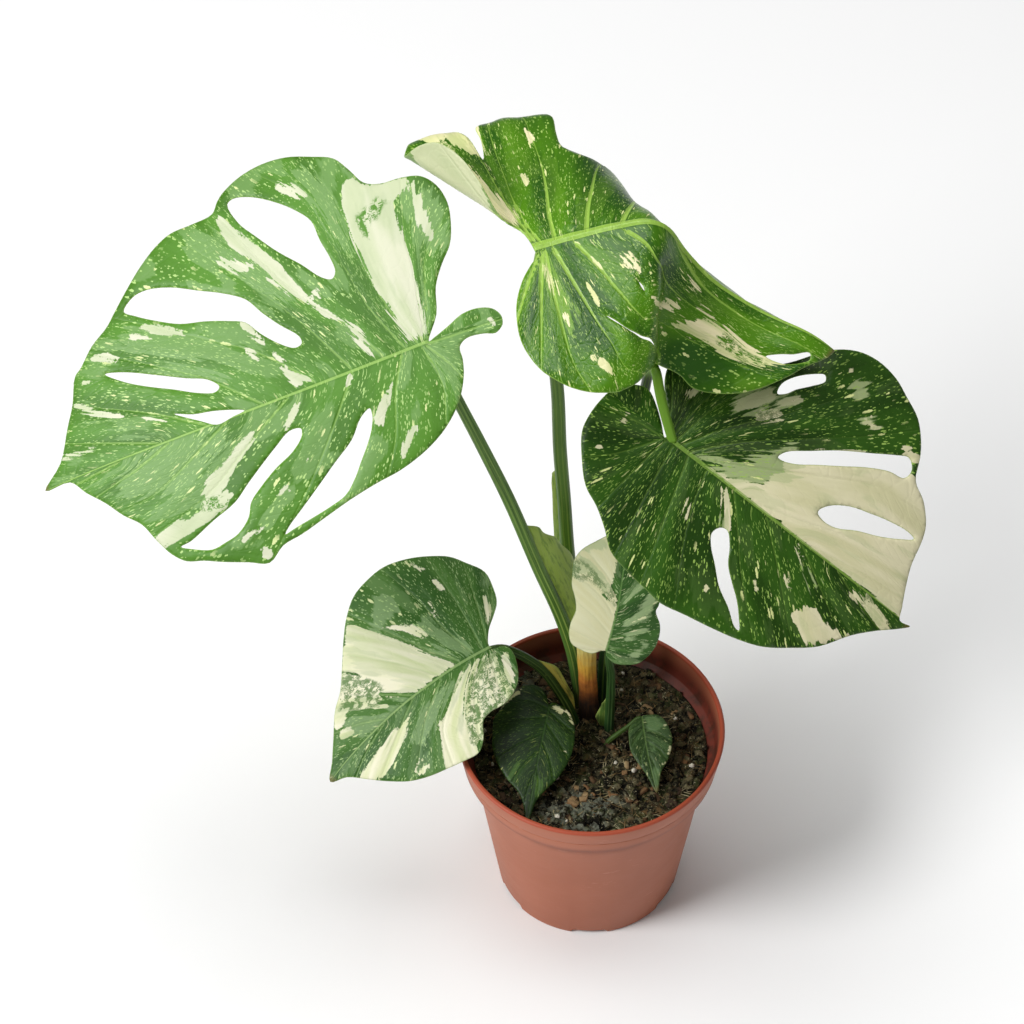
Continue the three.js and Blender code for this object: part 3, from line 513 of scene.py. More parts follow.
# The leaves: seven thin blades, drawn flat and then bent along the midrib and across it. A blade's flat
# millimetres run along the midrib (x) and to its left (y), from the joint with its stalk. The angles are
# in degrees: droop and sweep bend the midrib, fold tips each half at it, and curl bends the half away
# from it, left and right. A list of five has its keys at -1/3, 0, 1/3, 2/3 and 1 of the length.
LEAVES = {
    "left": {
        "joint": (-88.1, 30, 409.6), "length": 222.4, "heading": 197, "pitch": -13.6, "roll": -22,
        "droop": [4, 0, -5, -12, -26], "sweep": [0, 0, -2.5, -5, -7.4],
        "fold": ([0, 0, 0, -2, 0], [4, 6, 4, 2, 0]),
        "curl": ([-30, -30, -26, -22, -20], [-14, -12, -12, -12, -10]),
        "outline": [
            (-1, 0), (-10, -12), (-15, -26), (-22, -36), (-30, -45), (-35, -57), (-37, -68), (-35, -79),
            (-29, -87), (-19, -90), (-7, -91), (1, -95), (6, -105), (12, -115), (23, -121), (37, -127),
            (52, -129), (66, -127), (77, -122), (82, -118), (87, -112), (100, -111), (114, -111),
            (125, -107), (137, -99), (148, -89), (158, -79), (164, -73), (175, -66), (184, -57), (189, -53),
            (194, -39), (200, -28), (209, -11), (222, 0), (206, 1), (198, 10), (189, 19), (181, 29),
            (173, 37), (168, 48), (163, 57), (157, 63), (148, 66), (139, 70), (126, 75), (116, 79),
            (106, 73), (95, 71), (80, 67), (65, 63), (50, 60), (36, 58), (20, 53), (7, 46), (-4, 36),
            (-11, 25), (-14, 16), (-15, 9), (-20, 6), (-29, 7), (-35, 9), (-40, 6), (-41, 1), (-38, -4),
            (-31, -7), (-22, -7), (-14, -4), (-5, -1),
        ],
        "holes": [
            [(77, -114), (73, -116), (63, -113), (50, -104), (41, -95), (35, -86), (34, -74), (32, -62),
             (32, -54), (35, -51), (40, -54), (48, -65), (58, -77), (67, -90), (74, -101)],
            [(152, -78), (145, -84), (136, -85), (122, -81), (107, -73), (94, -66), (83, -58), (77, -48),
             (70, -38), (62, -28), (62, -24), (66, -23), (73, -28), (81, -37), (87, -46), (95, -50),
             (108, -55), (122, -59), (135, -66), (146, -73)],
            [(171, -48), (160, -45), (143, -37), (127, -29), (116, -24), (111, -18), (114, -16),
             (123, -19), (136, -26), (148, -32), (160, -39)],
            [(139, -13), (129, -9), (119, -7), (109, -4), (102, -1), (109, 0), (118, 1), (126, -4)],
            [(77, 19), (78, 23), (85, 29), (96, 34), (106, 40), (114, 46), (118, 53), (126, 59),
             (134, 61), (142, 62), (152, 58), (157, 55), (151, 54), (136, 48), (122, 43), (112, 36),
             (103, 30), (92, 23), (83, 18)],
            [(40, 22), (40, 26), (43, 33), (48, 40), (54, 47), (59, 53), (67, 60), (77, 63), (87, 65),
             (98, 67), (103, 68), (100, 65), (91, 59), (79, 51), (66, 42), (54, 34), (46, 25)],
        ],
        "veins": (
            [
                [(0, 1), (-14, 2), (-38, 3)], [(1, 2), (-6, 14), (-10, 24)], [(3, 2), (0, 24), (6, 44)],
                [(14, 1), (24, 18), (33, 42), (44, 59)], [(42, 1), (62, 26), (84, 50), (112, 76)],
                [(78, 1), (104, 16), (134, 34), (166, 44)], [(112, 1), (136, 13), (160, 24), (182, 27)],
                [(146, 1), (166, 8), (192, 14)], [(176, 1), (194, 3), (206, 4)],
            ],
            [
                [(-1, -2), (-8, -24), (-16, -44), (-32, -60)], [(0, -2), (-7, -37), (-10, -60), (-18, -88)],
                [(5, -2), (13, -26), (17, -55), (19, -90), (28, -124)],
                [(12, -2), (22, -30), (27, -60), (36, -100), (58, -127)],
                [(24, -2), (37, -26), (52, -45), (66, -70), (84, -108)],
                [(42, -2), (58, -34), (76, -62), (96, -88), (114, -110)],
                [(62, -2), (86, -28), (112, -46), (152, -72)],
                [(92, -1), (116, -24), (142, -42), (176, -62)],
                [(124, -1), (148, -16), (172, -28), (194, -38)], [(152, -1), (176, -10), (204, -20)],
            ],
        ),
        "cream": [
            [(-2, -4), (9, -4), (12.5, -26), (16, -48), (17.5, -66), (17, -86), (11, -100), (6, -101),
             (2, -95), (-3, -91), (-22, -89), (-20, -85), (-11, -78), (-8.5, -62), (-8, -48), (-6, -30)],
            [(-22, -52, 1.5), (-21.5, -62, 3.2), (-22, -74, 2.5), (-23, -84, 1.5)],
            [(29, -5, 1), (31, -10, 2.4), (33, -19, 2.2), (38, -27, 1), (44, -36, 1.6)],
            [(44, -34, 1), (50, -44, 1.4), (58, -55, 3.4), (62, -68, 3.4), (70, -80, 4), (78, -92, 5),
             (83, -106, 3)], [(44, -42, 1.2), (47, -47, 2.2)],
            [(64, -5, 1.5), (70, -7, 3.4), (74, -15, 2), (78, -24, 0.8)], [(87, -25, 1.2), (91, -30, 1.8)],
            [(81, -33, 2), (84, -38, 1.6), (88, -46, 2.2)], [(74, -75, 1.6), (82, -76, 3), (90, -83, 2.4)],
            [(36, -102, 1.8), (40, -107, 2.8), (46, -113, 1.8)],
            [(122, -54, 1.5), (134, -60, 2.8), (142, -66, 2.2)], [(140, -58, 0.8), (150, -62, 2)],
            [(162, -53, 1.5), (168, -57, 2.2), (175, -59, 1.2)],
            [(168, -23, 0.8), (178, -28, 1.6), (188, -35, 1.8), (192, -38, 1.2)],
            [(168, -42, 0.8), (184, -48, 1)], [(144, -12, 0.7), (154, -16, 1.1)],
            [(188, -11, 0.8), (200, -12, 1), (206, -14, 1)], [(24, 14, 1.6), (30, 20, 2.4), (38, 29, 3)],
            [(22, 40, 1.2), (28, 46, 2), (32, 52, 1.6)], [(75, 5, 0.9), (80, 12, 1.6), (84, 17, 1)],
            [(102, 13, 1.4), (110, 18, 3), (120, 26, 4), (128, 30, 4.4), (134, 35, 3.6)],
            [(124, 38, 2), (138, 44, 2.6), (152, 47, 3.4), (166, 49, 4)], [(43, 3, 1.3), (46, 6, 1)],
            [(112, 60, 0.8), (124, 63, 1.4)], [(94, 46, 0.8), (104, 48, 1.3)],
            [(72, 34, 0.7), (78, 37, 1.1)], [(-36, 5, 0.8), (-35, 1, 0.9)], [(115, 75, 1), (116, 71, 0.8)],
            [(62, -58, 1.2), (66, -64, 1.4)],
        ],
        "milky": [
            [(-24, -50, 8), (-24, -66, 9), (-20, -78, 6)], [(20, -62, 2), (24, -90, 5), (30, -112, 6)],
            [(40, -46, 4), (54, -60, 3)], [(60, -52, 5), (78, -76, 9), (100, -98, 8)],
            [(92, -26, 5), (120, -44, 8), (150, -60, 7)], [(118, 10, 4), (150, 12, 15), (172, 14, 8)],
            [(92, -66, 4), (110, -76, 5)], [(108, -20, 3), (126, -30, 4), (140, -36, 3)],
            [(-2, 4, 3), (-4, 20, 5)], [(46, 40, 4), (60, 52, 4)], [(-30, 3, 5)],
            [(96, 48, 4), (110, 58, 5)],
        ],
        "speckled": [
            [(-6, -80, 2), (2, -78, 3.4), (8, -74, 3), (9, -66, 1.6)], [(136, 38, 3), (128, 42, 3)],
        ],
        "greens": ((62, 108, 22), (80, 130, 38), (112, 150, 84)),
        "creams": ((188, 197, 160), (206, 208, 182)), "flecks": ((172, 204, 124), (206, 216, 150)),
        "rib": (146, 184, 92),
        "rib_width": 0.75, "vein_width": 0.6, "vein_light": 0.5, "rib_rise": 0.3, "vein_depth": 0.35,
        "quilt": 0.55, "lanes": 15, "fleck": 1.0,
        "shine": 0.3, "gloss": 0.42, "hazy": 0.8, "tinge": 0.12, "blend": 0,
    },
    "top": {
        "joint": (-32.9, 60, 449.4), "length": 193.3, "heading": 13, "pitch": 5, "roll": 0,
        "droop": [(0, 4), (0.27, 0), (0.43, -68.5), (0.52, -57), (0.68, -33.5), (0.85, -19), (1, -44)],
        "sweep": [(0.2, 0), (0.6, -32.1)],
        "fold": (
            [(-0.2, 4), (0.15, 1), (0.45, -42), (1, -58)], [(-0.2, -8), (0.1, -14), (0.5, -24), (1, -24)],
        ),
        "curl": ([(0, -5), (0.4, -20), (1, -20)], [(0, -16), (1, -10)]),
        "skew_right": 0.15,
        "rolls": [((1, 14), 213, 8, 115), ((0, 88), 92, 14, -80)],
        "outline": [
            (0, 0), (-4, 11), (-20, 18), (-37, 25), (-50, 34), (-58, 47), (-58, 61), (-53, 76), (-48, 90),
            (-44, 98), (-36, 99), (-28, 97), (-20, 93), (-15, 86), (-11, 68), (-9, 82), (-10, 93), (-6, 99),
            (4, 103), (14, 103), (22, 99), (26, 91), (27, 77), (29, 66), (37, 60), (48, 60), (58, 67),
            (72, 75), (92, 74), (115, 66), (138, 55), (160, 40), (178, 20), (193, 0), (181, -19),
            (176, -26), (162, -41), (145, -52), (137, -54), (129, -52), (118, -55), (104, -60), (90, -64),
            (70, -63), (50, -60), (37, -56), (27, -48), (30, -51.6), (38, -56.8), (50, -61), (68, -64.3),
            (88, -66.4), (78, -77), (62, -83), (47, -86), (30, -88), (15, -88), (6, -86), (-2, -82),
            (-9, -76), (-14, -70), (-18, -61), (-20, -51), (-19, -39), (-16, -28), (-10, -17), (-4, -10),
            (0, -6),
        ],
        "holes": [
            [(51, -33), (54, -35), (56, -38), (53, -36)],
            [(160, -21), (166, -17), (173, -14), (181, -9), (183, -12), (178, -17), (170, -21)],
        ],
        "veins": (
            [
                [(-2, 6), (-24, 24), (-52, 42)], [(-1, 5), (-16, 34), (-34, 64), (-46, 92)],
                [(1, 3), (-6, 34), (-11, 62)], [(4, 2), (0, 14), (-3, 36), (-4, 62), (-4, 92)],
                [(12, 2), (13, 18), (16, 38), (17, 56), (15, 78), (12, 100)],
                [(29, 1), (33, 15), (38, 30), (43, 48), (48, 60)], [(48, 1), (58, 22), (72, 46), (84, 72)],
                [(70, 1), (88, 24), (108, 46), (124, 60)], [(96, 1), (116, 18), (136, 34), (150, 46)],
                [(124, 1), (142, 12), (162, 26), (170, 32)], [(154, 1), (168, 6), (184, 10)],
            ],
            [
                [(2, -6), (-8, -20), (-17, -36)], [(3, -6), (-4, -32), (-12, -62)],
                [(5, -5), (3, -40), (3, -70), (8, -87)],
                [(10, -5), (16, -30), (24, -58), (34, -75), (60, -80)],
                [(22, -5), (30, -21), (36, -35), (45, -47), (63, -53), (90, -44), (112, -35), (136, -32),
                 (160, -30)],
                [(50, -5), (59, -13), (68, -21), (89, -21), (104, -20), (130, -17), (155, -22), (178, -16)],
                [(84, -1), (110, -6), (140, -8), (176, -8)],
            ],
        ),
        "cream": [
            [(-40, 102), (-8, 102), (-10, 70), (-16, 74), (-24, 82), (-28, 92), (-31, 78), (-36, 88),
             (-40, 96)], [(-60, 30), (-20, 20), (-4, 16), (-3, 24), (-14, 50), (-20, 64), (-60, 72)],
            [(111, -34), (118, -26), (124, -20), (140, -18), (160, -21), (170, -21), (160, -27),
             (145, -31), (130, -30), (118, -32)],
            [(62, -41, 0.8), (72, -43.5, 1.8), (86, -40, 2), (98, -32, 2), (107, -24, 2.4)],
            [(118, -16.5, 0.8), (127, -17, 1.2)], [(36, -13, 0.8), (42, -21, 2), (50, -32, 0.8)],
            [(47, -18, 0.8), (52, -27, 1)], [(22, -30, 1.5), (24, -40, 1)],
            [(3, -13, 1), (4, -22, 1.6), (5, -30, 0.8)], [(18, -73, 2.2), (23, -76, 1.2)], [(14, -69, 1)],
            [(5, 50, 1), (6, 44, 1.5)], [(13, 84, 0.8), (15, 75, 1.6)], [(27, -15, 0.8), (31, -21, 1.1)],
            [(6, -43, 1.1), (7, -48, 0.8)], [(100, -9, 1.2), (112, -11, 1)],
        ],
        "milky": [[(3, -12, 3), (6, -34, 5), (8, -50, 3)], [(100, -50, 3), (112, -53, 3)]],
        "speckled": [[(138, -24, 3), (150, -26, 3), (160, -25, 2)], [(-30, 84, 3), (-26, 78, 3)]],
        "greens": ((36, 82, 0), (72, 122, 4), (110, 152, 44)), "creams": ((206, 210, 146), (234, 226, 180)),
        "flecks": ((160, 192, 96), (222, 226, 156)), "rib": (156, 194, 80),
        "rib_width": 2.3, "vein_width": 1.25, "vein_light": 0.8, "rib_rise": 0.8, "vein_depth": 0.5,
        "quilt": 1.1, "lanes": 16, "fleck": 0.8,
        "shine": 0.34, "gloss": 0.25, "hazy": 0.25, "tinge": 0.3, "blend": 0,
    },
    "right": {
        "joint": (37.3, 14, 353.7), "length": 169.8, "heading": -28, "pitch": -26.6, "roll": 24,
        "droop": [8, 0, -5, -10, -18], "sweep": [0, 0, 1.1, 2.3, 3.4],
        "fold": ([6, 4, 4, 2, 0], [0, 2, 2, 0, 0]),
        "curl": ([-40, -34, -18, -12, -10], [-34, -34, -26, -20, -10]),
        "outline": [
            (0, -1), (-6, 4), (-14, 10), (-22, 14), (-29, 12), (-37, 3), (-39, -6), (-39, -16), (-37, -25),
            (-29, -36), (-18, -47), (-7, -52), (4, -59), (13, -66), (24, -69), (41, -71), (51, -72),
            (65, -69), (80, -66), (96, -62), (109, -57), (122, -48), (133, -39), (144, -24), (154, -14),
            (165, -5), (170, 0), (163, -1), (160, 5), (155, 16), (151, 27), (149, 40), (146, 49), (137, 59),
            (127, 65), (122, 77), (118, 84), (109, 94), (97, 100), (86, 105), (72, 107), (59, 104),
            (45, 94), (39, 86), (31, 75), (20, 64), (5, 55), (-8, 48), (-17, 40), (-21, 32), (-18, 23),
            (-9, 13), (0, 4),
        ],
        "holes": [
            [(50, -26), (52, -21), (56, -20), (62, -26), (67, -34), (74, -40), (82, -46), (89, -53),
             (93, -58), (90, -58), (81, -52), (70, -46), (61, -38), (54, -32)],
            [(90, 18), (93, 24), (103, 31), (115, 35), (126, 38), (139, 40), (144, 39), (137, 34),
             (126, 28), (114, 23), (103, 17), (95, 16)],
            [(55, 28), (57, 33), (68, 42), (81, 52), (97, 62), (110, 70), (116, 73), (120, 71), (122, 67),
             (120, 62), (111, 60), (99, 54), (87, 46), (75, 38), (65, 31), (58, 28)],
            [(35, 56), (34, 62), (38, 70), (46, 78), (51, 81), (53, 78), (48, 71), (42, 64), (39, 59)],
        ],
        "veins": (
            [
                [(0, 3), (-8, 16), (-18, 30)], [(1, 3), (-2, 24), (-6, 46)], [(3, 3), (5, 26), (14, 58)],
                [(6, 2), (12, 30), (22, 52), (32, 74)], [(10, 2), (24, 24), (44, 48), (64, 74), (84, 104)],
                [(16, 2), (34, 22), (60, 44), (90, 68), (112, 88)],
                [(22, 2), (50, 17), (80, 34), (112, 50), (142, 54)],
                [(58, 1), (84, 8), (112, 17), (152, 26)], [(98, 1), (126, 6), (158, 10)],
            ],
            [
                [(-1, -2), (-14, -3), (-38, -8)], [(-1, -3), (-14, -22), (-28, -36)],
                [(1, -3), (-3, -28), (-6, -52)], [(6, -3), (10, -32), (16, -66)],
                [(16, -2), (24, -30), (36, -70)], [(28, -2), (32, -18), (40, -38), (58, -70)],
                [(46, -1), (60, -16), (74, -32), (96, -52), (104, -59)],
                [(68, -1), (86, -16), (106, -34), (122, -48)], [(92, -1), (112, -12), (140, -28)],
                [(118, -1), (138, -8), (156, -12)],
            ],
        ),
        "cream": [
            [(24, 0), (40, 3), (56, 12), (62, 24), (58, 34), (70, 44), (90, 58), (112, 68), (125, 66),
             (150, 60), (180, 20), (180, 0)], [(22, 36, 2), (27, 44, 4), (32, 53, 3)],
            [(39, 52, 1), (42, 56, 2.6), (47, 61, 2.2)], [(84, 73, 1.4), (90, 74.5, 2.6), (94, 76, 1)],
            [(113, 75, 2), (120, 75, 2.6)],
            [(112, -30), (120, -25), (138, -27), (144, -25), (134, -36), (128, -41), (120, -40),
             (109, -35)], [(41, -4, 1.2), (47, -9, 2.2), (53, -16, 1.4), (56, -19, 0.8)],
            [(30, -20, 0.8), (34, -28, 1)], [(91, -3, 0.8), (99, -8, 1)], [(96, -21, 0.8), (103, -25, 1)],
            [(133, -5, 2), (146, -6, 3), (158, -9, 2.4)], [(-25, -26, 1.8)], [(-23, -6, 1.4)],
            [(-3, 26, 1.6), (-1, 32, 2.2)], [(56, -50, 1)], [(66, -50, 0.9)], [(84, 79, 0.8)],
            [(62, 92, 0.9)], [(83, -32, 0.7), (88, -36, 0.9)],
        ],
        "milky": [
            [(18, 1), (37, 13), (50, 27), (58, 36), (68, 40), (66, 22), (56, 8), (40, 1)],
            [(100, -9, 1), (112, -14, 1.6)], [(142, -8, 2), (152, -8, 2)], [(26, 36, 1), (32, 44, 2)],
            [(50, -16, 1), (57, -24, 0.8)], [(72, 86, 3)], [(22, 36, 3), (27, 44, 5), (32, 53, 4)],
            [(39, 52, 2), (42, 56, 4), (47, 61, 3)], [(84, 73, 2), (90, 74.5, 4), (94, 76, 2)],
        ],
        "speckled": [[(36, 40, 3), (42, 46, 3)], [(140, -4, 3)]],
        "greens": ((26, 56, 2), (44, 82, 12), (158, 172, 120)),
        "creams": ((200, 196, 154), (214, 208, 172)), "flecks": ((146, 178, 84), (206, 212, 142)),
        "rib": (116, 148, 60),
        "rib_width": 1.1, "vein_width": 0.5, "vein_light": 0.25, "rib_rise": 0.3, "vein_depth": 0.4,
        "quilt": 0.6, "lanes": 15, "fleck": 1.1,
        "shine": 0.22, "gloss": 0.36, "hazy": 0.05, "tinge": 0.25, "blend": 0.5,
    },
    "low": {
        "joint": (-55.2, 26, 163.7), "length": 118, "heading": 203, "pitch": -15.1, "roll": -20,
        "droop": [8, 0, -4, -8, -14], "sweep": [0, 0, 7.7, 15.6, 23.2],
        "fold": ([4, 8, 6, 4, 0], [4, 8, 6, 4, 0]),
        "curl": ([-40, -40, -30, -20, -20], [-30, -20, -16, -16, -16]),
        "outline": [
            (-1, 1), (1, -1), (-3, -9), (-9, -15), (-14, -21), (-16, -30), (-16, -40), (-10, -49),
            (-4, -57), (5, -63), (15, -68), (26, -71), (36, -70), (45, -67), (54, -59), (60, -52),
            (69, -41), (79, -30), (88, -24), (99, -14), (109, -6), (118, 0), (110, 6), (103, 16), (96, 25),
            (87, 34), (76, 40), (64, 44), (51, 47), (40, 48), (32, 43), (26, 35), (19, 33), (10, 33),
            (2, 30), (-4, 25), (-8, 16), (-9, 8), (-7, 4),
        ],
        "holes": [],
        "veins": (
            [
                [(0, 2), (-4, 12), (-6, 22)], [(2, 2), (6, 18), (8, 33)],
                [(6, 3), (18, 14), (28, 30), (34, 42)], [(18, 3), (34, 14), (50, 26), (58, 44)],
                [(34, 2), (52, 14), (68, 26), (82, 36)], [(52, 1), (70, 10), (88, 18), (98, 22)],
                [(74, 1), (90, 5), (106, 10)],
            ],
            [
                [(-1, -2), (-8, -14), (-14, -28)], [(1, -2), (-4, -26), (-8, -48)],
                [(5, -2), (5, -30), (6, -60)], [(11, -2), (17, -20), (21, -44), (27, -70)],
                [(20, -2), (30, -16), (40, -34), (52, -60)], [(34, -2), (46, -18), (58, -34), (66, -44)],
                [(52, -1), (64, -12), (74, -24), (80, -30)], [(72, -1), (84, -9), (96, -15)],
            ],
        ),
        "cream": [
            [(3, 3), (22, 5), (30, 11), (40, 18), (50, 22), (56, 30), (60, 36), (64, 46), (58, 52),
             (41, 51), (39, 40), (35, 28), (28, 20), (18, 9)], [(-4, 9, 1.6), (-2, 16, 3), (0, 23, 2.4)],
            [(2, 30, 1.4), (12, 33, 1.6)],
            [(58, 7), (66, 13), (76, 18), (88, 20), (104, 21), (108, 12), (98, 11), (84, 9), (70, 8)],
            [(71, 36, 0.8), (79, 35, 1.2)], [(72, 30, 0.8), (80, 33, 1)],
            [(22, -1), (50, -1), (56, -6), (64, -12), (66, -20), (68, -32), (73, -38), (64, -47),
             (56, -55), (52, -53), (50, -46), (44, -36), (36, -24), (30, -12), (25, -5)],
            [(82, -18), (94, -16), (92, -22), (78, -34), (74, -32), (82, -26)],
            [(90, -10, 1.4), (94, -11, 1.8)], [(66, -6, 0.8), (72, -9, 1)],
            [(27, -23, 1.2), (31, -30, 1.6), (37, -37, 1.3), (43, -42, 0.8)],
            [(-5, -11, 0.8), (-8, -19, 1.8), (-9, -26, 1)], [(17.5, -30, 0.8), (18, -39, 0.8)],
            [(7, -42, 1), (9, -48, 1.2)], [(11, -57, 0.8), (15, -64, 0.8)],
        ],
        "milky": [
            [(14, -4, 3), (20, -14, 4), (24, -30, 4)], [(30, 8, 3), (50, 14, 6), (64, 20, 5)],
            [(22, -1), (48, -1), (54, -12), (62, -30), (66, -40), (56, -55), (50, -46), (36, -24),
             (25, -5)], [(-14, -34, 3)], [(60, 3, 4), (84, -8, 6)], [(44, -44, 4), (36, -52, 6)],
        ],
        "speckled": [
            [(0, 4), (16, 8), (26, 18), (33, 28), (40, 42), (34, 44), (26, 34), (8, 34), (0, 29), (1, 14)],
            [(62, -14), (70, -9), (80, -15), (86, -22), (76, -33), (72, -38), (64, -25)],
        ],
        "greens": ((46, 90, 22), (72, 116, 42), (124, 154, 102)),
        "creams": ((210, 216, 166), (238, 234, 206)), "flecks": ((164, 192, 126), (214, 222, 164)),
        "rib": (146, 176, 108),
        "rib_width": 0.75, "vein_width": 0.5, "vein_light": 0.4, "rib_rise": 0.3, "vein_depth": 0.35,
        "quilt": 0.5, "lanes": 10, "fleck": 0.8,
        "shine": 0.26, "gloss": 0.42, "hazy": 0.35, "tinge": 0.3, "blend": 0.2,
    },
    "centre": {
        "joint": (7.9, 6, 184.3), "length": 77.3, "heading": 44.6, "pitch": 72, "roll": 38,
        "droop": [(-0.3, 6), (0, 0), (1, -18)], "sweep": [(0, 0), (1, 11.1)],
        "fold": ([(0, 0), (1, -4)], [(0, 10), (1, 4)]),
        "curl": ([(0, -50), (1, -60)], [(0, -70), (1, -60)]),
        "outline": [
            (0, 0), (-1, 3), (-4, 7), (-4, 13), (-2, 19), (3, 22), (12, 23), (21, 22), (29, 24), (36, 27),
            (44, 28), (53, 28), (61, 24), (67, 17), (72, 10), (77, 0), (74, -8), (66, -18), (55, -23),
            (44, -22), (36, -22), (32, -21), (24, -25), (15, -26), (6, -24), (-2, -19), (-5, -13), (-6, -6),
            (-3, -1),
        ],
        "holes": [],
        "veins": (
            [
                [(0, 2), (-2, 10), (-3, 18)], [(3, 2), (6, 12), (8, 23)], [(12, 1), (20, 10), (28, 24)],
                [(24, 1), (34, 9), (46, 27)], [(36, 1), (48, 8), (62, 23)], [(50, 1), (60, 4), (72, 10)],
            ],
            [
                [(-1, -1), (-4, -6), (-5, -14)], [(3, -1), (5, -12), (6, -24)],
                [(10, -1), (16, -10), (22, -25)], [(20, -1), (30, -10), (38, -21)],
                [(32, -1), (44, -8), (58, -21)], [(46, -1), (58, -6), (70, -12)],
            ],
        ),
        "cream": [
            [(-8, 0), (-8, 30), (78, 30), (74, 12), (64, 5), (54, 4), (44, 5), (36, 9), (30, 0)],
            [(50, -5, 0.8), (57, -1, 1.2)],
        ],
        "milky": [
            [(14, -9, 3), (20, -16, 3)], [(22, -7, 2), (32, -15, 4), (40, -18, 3)],
            [(34, -5, 1.4), (46, -9, 2.4), (52, -11, 2)], [(4, -16, 3), (10, -20, 3)], [(60, -6, 3)],
            [(46, 27, 4), (52, 20, 5), (47, 13, 4)], [(62, 24, 3), (66, 14, 3)], [(40, 8, 3), (46, 14, 3)],
        ],
        "speckled": [[(42, 30), (56, 30), (52, 18), (44, 10), (38, 2), (30, 0), (36, 8), (42, 18)]],
        "greens": ((32, 70, 16), (62, 104, 38), (154, 176, 126)),
        "creams": ((214, 211, 166), (220, 218, 180)), "flecks": ((164, 186, 130), (214, 216, 168)),
        "rib": (96, 136, 66),
        "rib_width": 0.6, "vein_width": 0.3, "vein_light": 0.2, "rib_rise": 0.2, "vein_depth": 0.25,
        "quilt": 0.3, "lanes": 8, "fleck": 1.0,
        "shine": 0.26, "gloss": 0.44, "hazy": 0.3, "tinge": 0.04, "blend": 0.5,
    },
    "front_left": {
        "joint": (-22.7, 13, 128), "length": 71, "heading": 258.05, "pitch": -12, "roll": -4,
        "droop": [(-0.3, 10), (0, 0), (1, -12)], "sweep": [(0, 0), (1, 2.8)],
        "fold": ([(0, 4), (1, 0)], [(0, 6), (1, 0)]), "curl": ([(0, -60), (1, -50)], [(0, -60), (1, -50)]),
        "outline": [
            (0, 0), (-5, -3), (-9, -7), (-10, -12), (-8, -17), (-3, -21), (7, -26), (14, -29), (23, -28),
            (32, -26), (41, -21), (48, -15), (54, -8), (60, -4), (71, 0), (58, 3), (51, 7), (42, 13),
            (31, 17), (23, 18), (13, 17), (5, 14), (1, 10), (-1, 5),
        ],
        "holes": [],
        "veins": (
            [
                [(1, 1), (0, 6), (1, 10)], [(4, 1), (9, 8), (14, 17)], [(12, 1), (20, 8), (30, 17)],
                [(24, 1), (34, 7), (46, 11)], [(38, 0), (48, 3), (60, 3)],
            ],
            [
                [(-1, -1), (-6, -6), (-9, -12)], [(2, -1), (0, -12), (2, -24)],
                [(8, -1), (12, -14), (17, -28)], [(18, -1), (26, -12), (36, -23)],
                [(30, -1), (40, -8), (50, -12)], [(44, -1), (54, -3), (62, -3)],
            ],
        ),
        "cream": [
            [(1, 3, 1.2), (3, 7, 1.6)], [(2, 10, 0.9), (8, 15, 0.9)],
            [(-6, -17, 1), (0, -22, 1.2), (7, -27, 1)], [(26, 15, 0.8)], [(27, -18, 0.6), (29, -21, 0.6)],
        ],
        "milky": [
            [(47, 3, 3), (58, 0, 2.4)], [(40, -11, 1.2), (48, -14, 1.8)], [(24, -10, 1), (28, -13, 1)],
        ],
        "speckled": [],
        "greens": ((12, 36, 0), (26, 54, 6), (60, 92, 32)), "creams": ((196, 192, 142), (212, 206, 166)),
        "flecks": ((86, 114, 40), (140, 150, 80)), "rib": (40, 68, 20),
        "rib_width": 0.5, "vein_width": 0.3, "vein_light": 0.3, "rib_rise": 0.2, "vein_depth": 0.3,
        "quilt": 0.35, "lanes": 11, "fleck": 0.75,
        "shine": 0.26, "gloss": 0.38, "hazy": 0.1, "tinge": 0.2, "blend": 0,
    },
    "front_right": {
        "joint": (28.9, 11, 120.6), "length": 46.9, "heading": 275.58, "pitch": -10, "roll": 4,
        "droop": [(-0.3, 10), (0, 0), (1, -14)], "sweep": [(0, 0), (1, 8)],
        "fold": ([(0, 6), (1, 2)], [(0, 10), (1, 4)]), "curl": ([(0, -60), (1, -50)], [(0, -60), (1, -50)]),
        "outline": [
            (0, 1), (2, -3), (7, -8), (13, -9), (21, -9), (29, -6), (36, -3), (47, 0), (36, 5), (30, 10),
            (22, 14), (15, 15), (9, 14), (4, 12), (1, 9), (0, 5),
        ],
        "holes": [],
        "veins": (
            [
                [(2, 1), (3, 6), (4, 11)], [(8, 1), (13, 8), (18, 14)], [(16, 1), (23, 7), (30, 10)],
                [(26, 1), (33, 3), (40, 3)],
            ],
            [
                [(3, -1), (6, -4), (8, -8)], [(9, -1), (14, -5), (20, -9)], [(18, -1), (25, -4), (32, -5)],
            ],
        ),
        "cream": [[(8, 12, 0.8)], [(22, 13, 0.8), (26, 12, 0.7)], [(31, 8, 0.8)]],
        "milky": [
            [(0, 1), (2, 8), (8, 12), (12, 8), (10, 2)], [(18, 3, 1.4), (22, 4, 1)],
            [(36, 2, 3), (44, 0, 2)],
        ],
        "speckled": [],
        "greens": ((28, 48, 14), (46, 72, 28), (92, 120, 74)), "creams": ((186, 186, 140), (200, 198, 156)),
        "flecks": ((110, 134, 80), (180, 186, 130)), "rib": (84, 110, 54),
        "rib_width": 0.5, "vein_width": 0.3, "vein_light": 0.3, "rib_rise": 0.2, "vein_depth": 0.3,
        "quilt": 0.3, "lanes": 6, "fleck": 0.5,
        "shine": 0.28, "gloss": 0.42, "hazy": 0.3, "tinge": 0.2, "blend": 0.3,
    },
}


